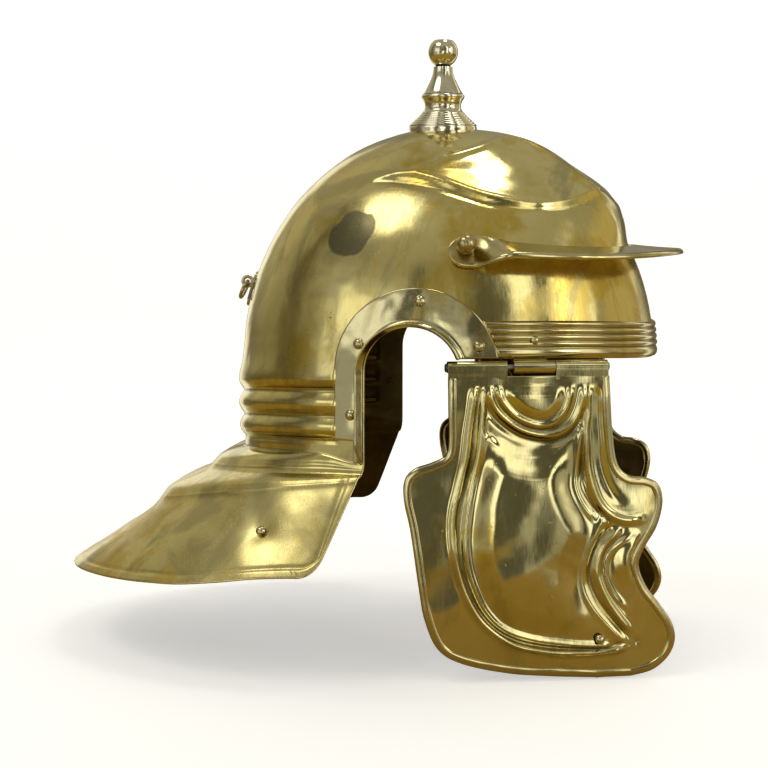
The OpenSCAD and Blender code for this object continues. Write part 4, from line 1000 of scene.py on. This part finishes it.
class Graph:
    """Short forms for building the nodes of a material or of the world."""

    def __init__(self, block, place="Object"):
        block.use_nodes = True
        self.block, self.tree = block, block.node_tree
        self.tree.nodes.clear()
        outputs = self.node("TexCoord").outputs
        self.place, self.normal = Value(self, outputs[place]), Value(self, outputs["Normal"])

    def node(self, kind, inputs=(), **settings):
        """A shader node; its inputs are linked or set by name or number, or in order."""
        node = self.tree.nodes.new("ShaderNode" + kind)
        for name, value in settings.items():
            setattr(node, name, value)
        for key, value in inputs.items() if isinstance(inputs, dict) else enumerate(inputs):
            socket = node.inputs[key]
            if isinstance(value, Value):
                self.tree.links.new(value.socket, socket)
            else:
                socket.default_value = (*value, 1) if socket.type == "RGBA" else value
        return node

    def value(self, kind, inputs=(), out=0, **settings):
        return Value(self, self.node(kind, inputs, **settings).outputs[out])

    def math(self, kind, a, b=0.0):
        return self.value("Math", (a, b), operation=kind)

    def vector_math(self, kind, a, b, out):
        return self.value("VectorMath", (a, b), out, operation=kind)

    def noise(self, scale, detail=4.0, rough=0.55, stretch=(1, 1, 1), distortion=0.0, offset=(0, 0, 0)):
        place = self.value("Mapping", {"Vector": self.place, "Location": offset, "Scale": stretch})
        return self.value("TexNoise", {"Vector": place, "Scale": scale, "Detail": detail, "Roughness": rough,
                                       "Distortion": distortion})

    def ramp(self, value, low, high, to_low=0.0, to_high=1.0):
        return self.value("MapRange", (value, low, high, to_low, to_high), interpolation_type="SMOOTHSTEP")

    def blend(self, factor, a, b):
        return self.value("Mix", {0: factor, 6: a, 7: b}, 2, data_type="RGBA")

    def bump(self, height, distance, strength=1.0, under=None):
        below = {} if under is None else {"Normal": under}
        return self.value("Bump", {"Height": height, "Distance": distance, "Strength": strength, **below})

    def surface(self, colour, rough, normal=None, metal=0.0, glow=0.0):
        """Ends a material and gives it back."""
        shader = self.value("BsdfPrincipled", {
            "Base Color": colour, "Roughness": rough, "Metallic": metal, "Emission Color": (1, 1, 1),
            "Emission Strength": glow, **({} if normal is None else {"Normal": normal})})
        self.node("OutputMaterial", (shader,))
        return self.block


def new_material(name):
    return Graph(bpy.data.materials.new(name))


# Colours of the painted shade in grooves and of the dark specks, of the thin film and of the painted dark
# reflection, and the two of the unpolished inside
SHADE_AND_SPECK_DARK, FILM_COLOUR, DARK_REFLECTION_COLOUR = (0.05, 0.04, 0.015), (0.33, 0.30, 0.15), (0.085, 0.08, 0.05)
DULL = (0.07, 0.05, 0.018), (0.13, 0.09, 0.03)
# Metres: a point low in the middle of the head, radius of the painted dark reflection, height over which the
# satin sets in
HEAD_MIDDLE = (-0.02, 0, -0.16)
DARK_REFLECTION_R, SATIN_FADE = 0.0125, 0.012


def brass(name, bright, aged, polish, patina, spots, brushed=(1, 1, 1), wobble=0.2, lined=False, dark_reflection_at=None,
          satin_below=None):
    """Polished brass: brushed grain, ochre bloom, painted shade in the grooves, dark specks, an optional
    painted dark reflection and bright rubbed ridges.
    """
    g = new_material(name)
    groove = g.value("Attribute", (), "Fac", attribute_name="groove")
    pointed = g.value("NewGeometry", (), "Pointiness")
    bloom = g.noise(13, 3, 0.5, distortion=1.2)
    cloud = g.noise(46, 6, 0.65, distortion=0.4, offset=(0.3, 0.1, 0.7))
    streak = g.noise(90, 5, 0.7, stretch=brushed, distortion=0.2)
    fine = g.noise(900, 3, 0.6, stretch=brushed)
    age = g.ramp(bloom * 0.62 + cloud * 0.38, 0.60 - 0.15 * patina, 0.67 - 0.13 * patina, 0.0, 0.9)
    age = age * g.ramp(streak, 0.3, 0.7, 0.55, 1.0)
    colour = g.blend(age, bright, aged)
    colour = g.blend(g.ramp(streak, 0.45, 0.75, 0.0, 0.35), colour, aged)
    # A thin grey-olive film lies over it in drawn-out clouds
    film = g.noise(19, 5, 0.6, stretch=(1, 1, 0.55), distortion=1.4, offset=(0.8, 0.4, 0.2))
    film = g.ramp(film, 0.48, 0.61, 0.0, 0.8 * patina)
    colour = g.blend(film, colour, FILM_COLOUR)
    # Painted shade: grooves and creases, found from the stored groove value and low pointiness, are darkened
    # towards near black
    hollow = g.math("MAXIMUM", g.ramp(groove, 0.03, 0.45), g.ramp(pointed, 0.492, 0.43))
    hollow = hollow * g.ramp(cloud, 0.25, 0.6, 0.6, 1.0)
    colour = g.blend(hollow * 0.93, colour, SHADE_AND_SPECK_DARK)
    spot = g.ramp(g.noise(240, 4, 0.6, distortion=1.5), 0.665, 0.72) * g.ramp(cloud, 0.46, 0.6)
    colour = g.blend(spot * spots, colour, SHADE_AND_SPECK_DARK)
    rub = g.math("MAXIMUM", g.ramp(groove, -0.1, -0.6), g.ramp(pointed, 0.53, 0.62))
    colour = g.blend(rub * 0.5, colour, tuple(1.12 * v for v in bright))
    rough = age * 0.12 + polish + film * 0.12 + g.ramp(fine, 0.3, 0.75) * 0.07
    rough = rough + hollow * 0.22 + spot * 0.25 - rub * 0.05
    if dark_reflection_at is not None:
        # A painted dark reflection: one dark patch with a ragged edge, where the bowl mirrors a dark part of
        # the room
        spread = g.vector_math("DISTANCE", g.place, dark_reflection_at, "Value")
        spread = spread + (bloom - 0.5) * 0.02 + (cloud - 0.5) * 0.006
        dark_reflection = g.ramp(spread, DARK_REFLECTION_R, DARK_REFLECTION_R - 0.0017, 0.0, 0.85)
        colour = g.blend(dark_reflection, colour, DARK_REFLECTION_COLOUR)
        rough = rough + dark_reflection * 0.15
    if satin_below is not None:
        height = g.value("SeparateXYZ", (g.place,), "Z")
        rough = rough + g.ramp(height, satin_below, satin_below - SATIN_FADE, 0.0, 0.13)
    if lined:
        # The inner side, which faces the middle of the head, is unpolished and dark
        out = g.vector_math("SUBTRACT", g.place, HEAD_MIDDLE, 0)
        within = g.ramp(g.vector_math("DOT_PRODUCT", out, g.normal, "Value"), 0.0, -0.01)
        colour = g.blend(within, colour, g.blend(g.ramp(cloud, 0.35, 0.65), *DULL))
        rough = rough + within * 0.3
    dents = g.noise(34, 2, 0.5, offset=(0.5, 0.2, 0.9))
    normal = g.bump(dents, 0.0009 * wobble)
    normal = g.bump(fine, 0.000012, 1.0, normal)
    normal = g.bump(spot, -0.00003, 1.0, normal)
    return g.surface(colour, rough, normal, 1.0)


def leather_material(name, light, dark):
    g = new_material(name)
    grain = g.value("TexVoronoi", {"Vector": g.place, "Scale": 900})
    tone = g.noise(24, 5, 0.6)
    fine = g.noise(420, 4, 0.6)
    colour = g.blend(g.ramp(tone, 0.3, 0.7), dark, light)
    colour = g.blend(g.ramp(fine, 0.5, 0.8, 0.0, 0.35), colour, dark)
    colour = g.blend(g.ramp(grain, 0.0, 0.5, 0.35, 0.0), colour, dark)
    normal = g.bump(fine, 0.0002, 0.6, g.bump(grain, 0.00018, 0.7))
    return g.surface(colour, g.ramp(tone, 0.3, 0.7, 0.72, 0.55), normal)


def cord_material(name, light, dark):
    g = new_material(name)
    twist = g.noise(700, 4, 0.6, stretch=(1, 1, 3))
    return g.surface(g.blend(g.ramp(twist, 0.35, 0.65), dark, light), 0.65, g.bump(twist, 0.0002, 0.8))


def steel(name, light, dark):
    g = new_material(name)
    tone = g.noise(120, 5, 0.6)
    fine = g.noise(1100, 3, 0.6, stretch=(1, 6, 6))
    colour = g.blend(g.ramp(tone, 0.35, 0.65), dark, light)
    return g.surface(colour, g.ramp(tone, 0.3, 0.7, 0.3, 0.5), g.bump(fine, 0.00002), 1.0)


# ---------- studio ----------
# Soft shapes of the room that the metal mirrors: azimuth to the right of the camera's side and elevation,
# both as (from, to) in degrees, softness of the edges in degrees, colour
ROOM = (
    ((-180, 180), (-90, -17), 2, (0.36, 0.25, 0.025)),
    ((-70, 75), (-17, 30), 2, (0.46, 0.45, 0.39)),
    ((-62, -22), (3, 24), 3, (1.3, 1.28, 1.2)),
    ((-42, -26), (-16, 4), 2, (1.2, 1.18, 1.08)),
    ((-3, 8), (-14, 12), 2, (1.7, 1.68, 1.6)),
    ((32, 47), (-8, 40), 2, (1.7, 1.68, 1.6)),
    ((66, 88), (-8, 34), 3, (1.35, 1.30, 1.18)),
    ((12, 30), (-17, 44), 2, (0.11, 0.105, 0.08)),
    ((48, 60), (-12, 30), 2, (0.09, 0.085, 0.06)),
    ((-20, -12), (-10, 36), 2, (0.14, 0.13, 0.10)),
    ((-96, -80), (-8, 50), 5, (0.15, 0.13, 0.08)),
    ((96, 128), (-6, 30), 4, (0.55, 0.46, 0.24)),
    ((-140, -110), (10, 60), 8, (0.50, 0.46, 0.34)),
    ((134, 147), (-48, 40), 3, (1.25, 1.22, 1.08)),
    ((150, 166), (-60, 44), 3, (0.15, 0.135, 0.09)),
    ((-160, -143), (-44, 30), 3, (1.15, 1.12, 1.0)),
)


# Colours of the room from straight down (0) to straight up (1), behind those shapes
SKY = ((0.0, (0.22, 0.16, 0.05)), (0.48, (0.17, 0.145, 0.08)), (0.54, (0.28, 0.26, 0.19)),
       (0.75, (0.34, 0.32, 0.25)), (0.9, (0.46, 0.44, 0.38)), (1.0, (0.34, 0.32, 0.26)))
WOBBLE = 24.0
# Soft lights: name, place and size in metres, power in watts, colour
LIT_POINT = (-0.03, 0, 0)
LIGHTS = (
    ("key", (-0.72, -0.60, 1.44), (0.9, 0.6), 3.6, (1, 0.98, 0.93)),
    ("front_fill", (1.3, -0.7, 0.45), (0.3, 0.6), 1.8, (1, 0.96, 0.88)),
    ("top", (0.25, 0.1, 1.5), (0.35, 0.35), 2.2, (1, 1, 1)),
)
# Floor and table top, metres
FLOOR_SIZE, FLOOR_BEND, FLOOR_WALL, FLOOR_GAP = 6.0, 0.8, 2.6, 0.0008
TABLE_X, TABLE_Y, TABLE_RISE = (-0.85, 0.65), 0.27, 0.0003
FLOOR_GLOW = 0.42
# Camera: azimuth and elevation in degrees, distance and target in metres, focal length and film width in mm
VIEW_AZIMUTH, VIEW_ELEVATION, VIEW_DISTANCE, VIEW_TARGET = 7, 6, 0.9, (-0.036, 0, -0.017)
LENS, FILM = 74.1, 36


def studio():
    scene = bpy.context.scene
    scene.view_settings.view_transform = "Standard"
    scene.view_settings.look = "None"
    scene.world = bpy.data.worlds.new("studio")
    g = Graph(scene.world, "Generated")
    x, y, z = (g.value("SeparateXYZ", (g.place,), k) for k in range(3))
    # A slow wobble keeps the shapes' edges from being ruler-straight
    wobble = (g.noise(3.2, 2.0, 0.5) - 0.5) * WOBBLE
    degree = 180 / math.pi
    azimuth = g.math("ARCTAN2", x, y * -1.0) * degree + wobble
    elevation = g.math("ARCSINE", z) * degree + wobble * 0.3
    sky = g.node("ValToRGB", (g.ramp(elevation, -90.0, 90.0),))
    elements = sky.color_ramp.elements
    while len(elements) < len(SKY):
        elements.new(0.5)
    for element, (at, tone) in zip(elements, SKY):
        element.position = at
        element.color = (*tone, 1)
    colour = Value(g, sky.outputs[0])
    for (a0, a1), (e0, e1), soft, tone in ROOM:
        share = g.ramp(elevation, e0 - soft, e0 + soft) * g.ramp(elevation, e1 + soft, e1 - soft)
        if a1 - a0 < 360:
            share = share * g.ramp(azimuth, a0 - soft, a0 + soft) * g.ramp(azimuth, a1 + soft, a1 - soft)
        colour = g.blend(share, colour, tone)
    room, backdrop = g.value("Background", (colour,)), g.value("Background", ((1, 1, 1),))
    seen = g.value("LightPath", (), "Is Camera Ray")
    g.node("OutputWorld", (g.value("MixShader", (seen, room, backdrop)),))
    for name, place, size, power, tint in LIGHTS:
        data = bpy.data.lights.new(name, "AREA")
        data.shape, data.size, data.size_y = "ELLIPSE", size[0], size[1]
        data.energy, data.color = power, tint
        light = bpy.data.objects.new(name, data)
        light.location = place
        light.rotation_euler = (Vector(LIT_POINT) - Vector(place)).to_track_quat("-Z", "Y").to_euler()
        scene.collection.objects.link(light)


def floor():
    """A pale floor that curves up behind the helmet, and a warm table top that only the metal mirrors."""
    low = CAD_BOX[0][2] - FLOOR_GAP
    bend = FLOOR_SIZE * 0.2
    a = np.linspace(0, 90, 14)[1:]
    curved = np.stack([bend + FLOOR_BEND * sind(a), low + FLOOR_BEND * (1 - cosd(a))], -1)
    profile = [(-FLOOR_SIZE, low), (bend, low), *curved, (bend + FLOOR_BEND, low + FLOOR_WALL)]
    points = [(x, y, z) for y, z in profile for x in (-FLOOR_SIZE, FLOOR_SIZE)]
    faces = [(2 * k, 2 * k + 1, 2 * k + 3, 2 * k + 2) for k in range(len(profile) - 1)]
    g = new_material("pale_floor")
    colour = g.blend(g.noise(6, 3), (0.88, 0.88, 0.87), (0.92, 0.92, 0.91))
    stage_piece("floor", points, faces, g.surface(colour, 0.9, glow=FLOOR_GLOW)).visible_glossy = False

    g = new_material("table_reflection")
    grain = g.noise(14, 4, stretch=(1, 5, 1))
    (x0, x1), y, z = TABLE_X, TABLE_Y, low + TABLE_RISE
    points = [(x0, -y, z), (x1, -y, z), (x1, y, z), (x0, y, z)]
    colour = g.blend(grain, (0.36, 0.22, 0.025), (0.50, 0.33, 0.06))
    table = stage_piece("table", points, [(0, 1, 2, 3)], g.surface(colour, 0.7))
    table.visible_camera = table.visible_diffuse = table.visible_shadow = False


def stage_piece(name, points, faces, material):
    mesh = bpy.data.meshes.new(name)
    mesh.from_pydata(points, [], faces)
    mesh.shade_smooth()
    mesh.materials.append(material)
    obj = bpy.data.objects.new(name, mesh)
    bpy.context.scene.collection.objects.link(obj)
    return obj


def camera():
    azimuth, elevation, target = math.radians(VIEW_AZIMUTH), math.radians(VIEW_ELEVATION), Vector(VIEW_TARGET)
    level = math.cos(elevation)
    back = Vector((math.sin(azimuth) * level, -math.cos(azimuth) * level, math.sin(elevation)))
    data = bpy.data.cameras.new("camera")
    data.lens, data.sensor_width = LENS, FILM
    obj = bpy.data.objects.new("camera", data)
    obj.location = target + back * VIEW_DISTANCE
    obj.rotation_euler = (-back).to_track_quat("-Z", "Y").to_euler()
    bpy.context.scene.collection.objects.link(obj)
    bpy.context.scene.camera = obj


# ---------- the helmet ----------
# The bowl's brass carries a painted dark reflection high on its right side
bowl_brass = brass("bowl_brass", (0.70, 0.60, 0.25), (0.52, 0.36, 0.045), 0.11, 0.75, 0.6, (1, 1, 0.16), 0.8,
                   lined=True, dark_reflection_at=(-0.0457, -0.0703, 0.0697), satin_below=-0.05)
cheek_brass = brass("cheek_brass", (0.68, 0.61, 0.31), (0.56, 0.41, 0.07), 0.07, 0.45, 0.4, (1, 1, 0.2), 0.6,
                    lined=True)
ear_brass = brass("ear_brass", (0.60, 0.55, 0.32), (0.48, 0.36, 0.10), 0.08, 0.6, 0.45, wobble=2.6)
trim_brass = brass("trim_brass", (0.60, 0.53, 0.28), (0.44, 0.33, 0.09), 0.12, 0.5, 0.5, (0.2, 0.2, 1), 0.4)
pale_brass = brass("pale_brass", (0.80, 0.75, 0.57), (0.62, 0.52, 0.28), 0.08, 0.3, 0.3, (0.2, 0.2, 1))
stud_brass = brass("stud_brass", (0.60, 0.53, 0.32), (0.40, 0.31, 0.12), 0.12, 0.5, 0.5)
dark_steel = steel("dark_steel", (0.34, 0.32, 0.28), (0.10, 0.09, 0.07))
hide = leather_material("hide", (0.36, 0.19, 0.09), (0.15, 0.07, 0.03))
thread = cord_material("waxed_thread", (0.60, 0.50, 0.34), (0.36, 0.28, 0.17))
cord = cord_material("lace_cord", (0.16, 0.09, 0.05), (0.05, 0.03, 0.02))

make_bowl(bowl_brass)
make_ear_guards(ear_brass)
make_brow_guard(trim_brass)
make_band(trim_brass)
make_cheek_plates(cheek_brass, trim_brass)
make_knob(pale_brass)
make_liner(hide, thread, cord)

# CAD pieces that keep their meshes; those not named here look like the studs
CAD_FINISH = {"hinge_leaf_right": trim_brass, "hinge_leaf_left": trim_brass}
for steel_name in ("hinge_pin_right", "hinge_pin_left", "knob_washer", "knob_nut", "stud_washers"):
    CAD_FINISH[steel_name] = dark_steel
for node_name, node in NODES.items():
    if node.hide_render:
        continue
    node.data.materials.clear()
    node.data.materials.append(CAD_FINISH.get(node_name, stud_brass))
    node.data.shade_smooth()
    node.data.set_sharp_from_angle(angle=math.radians(35))

studio()
floor()
camera()
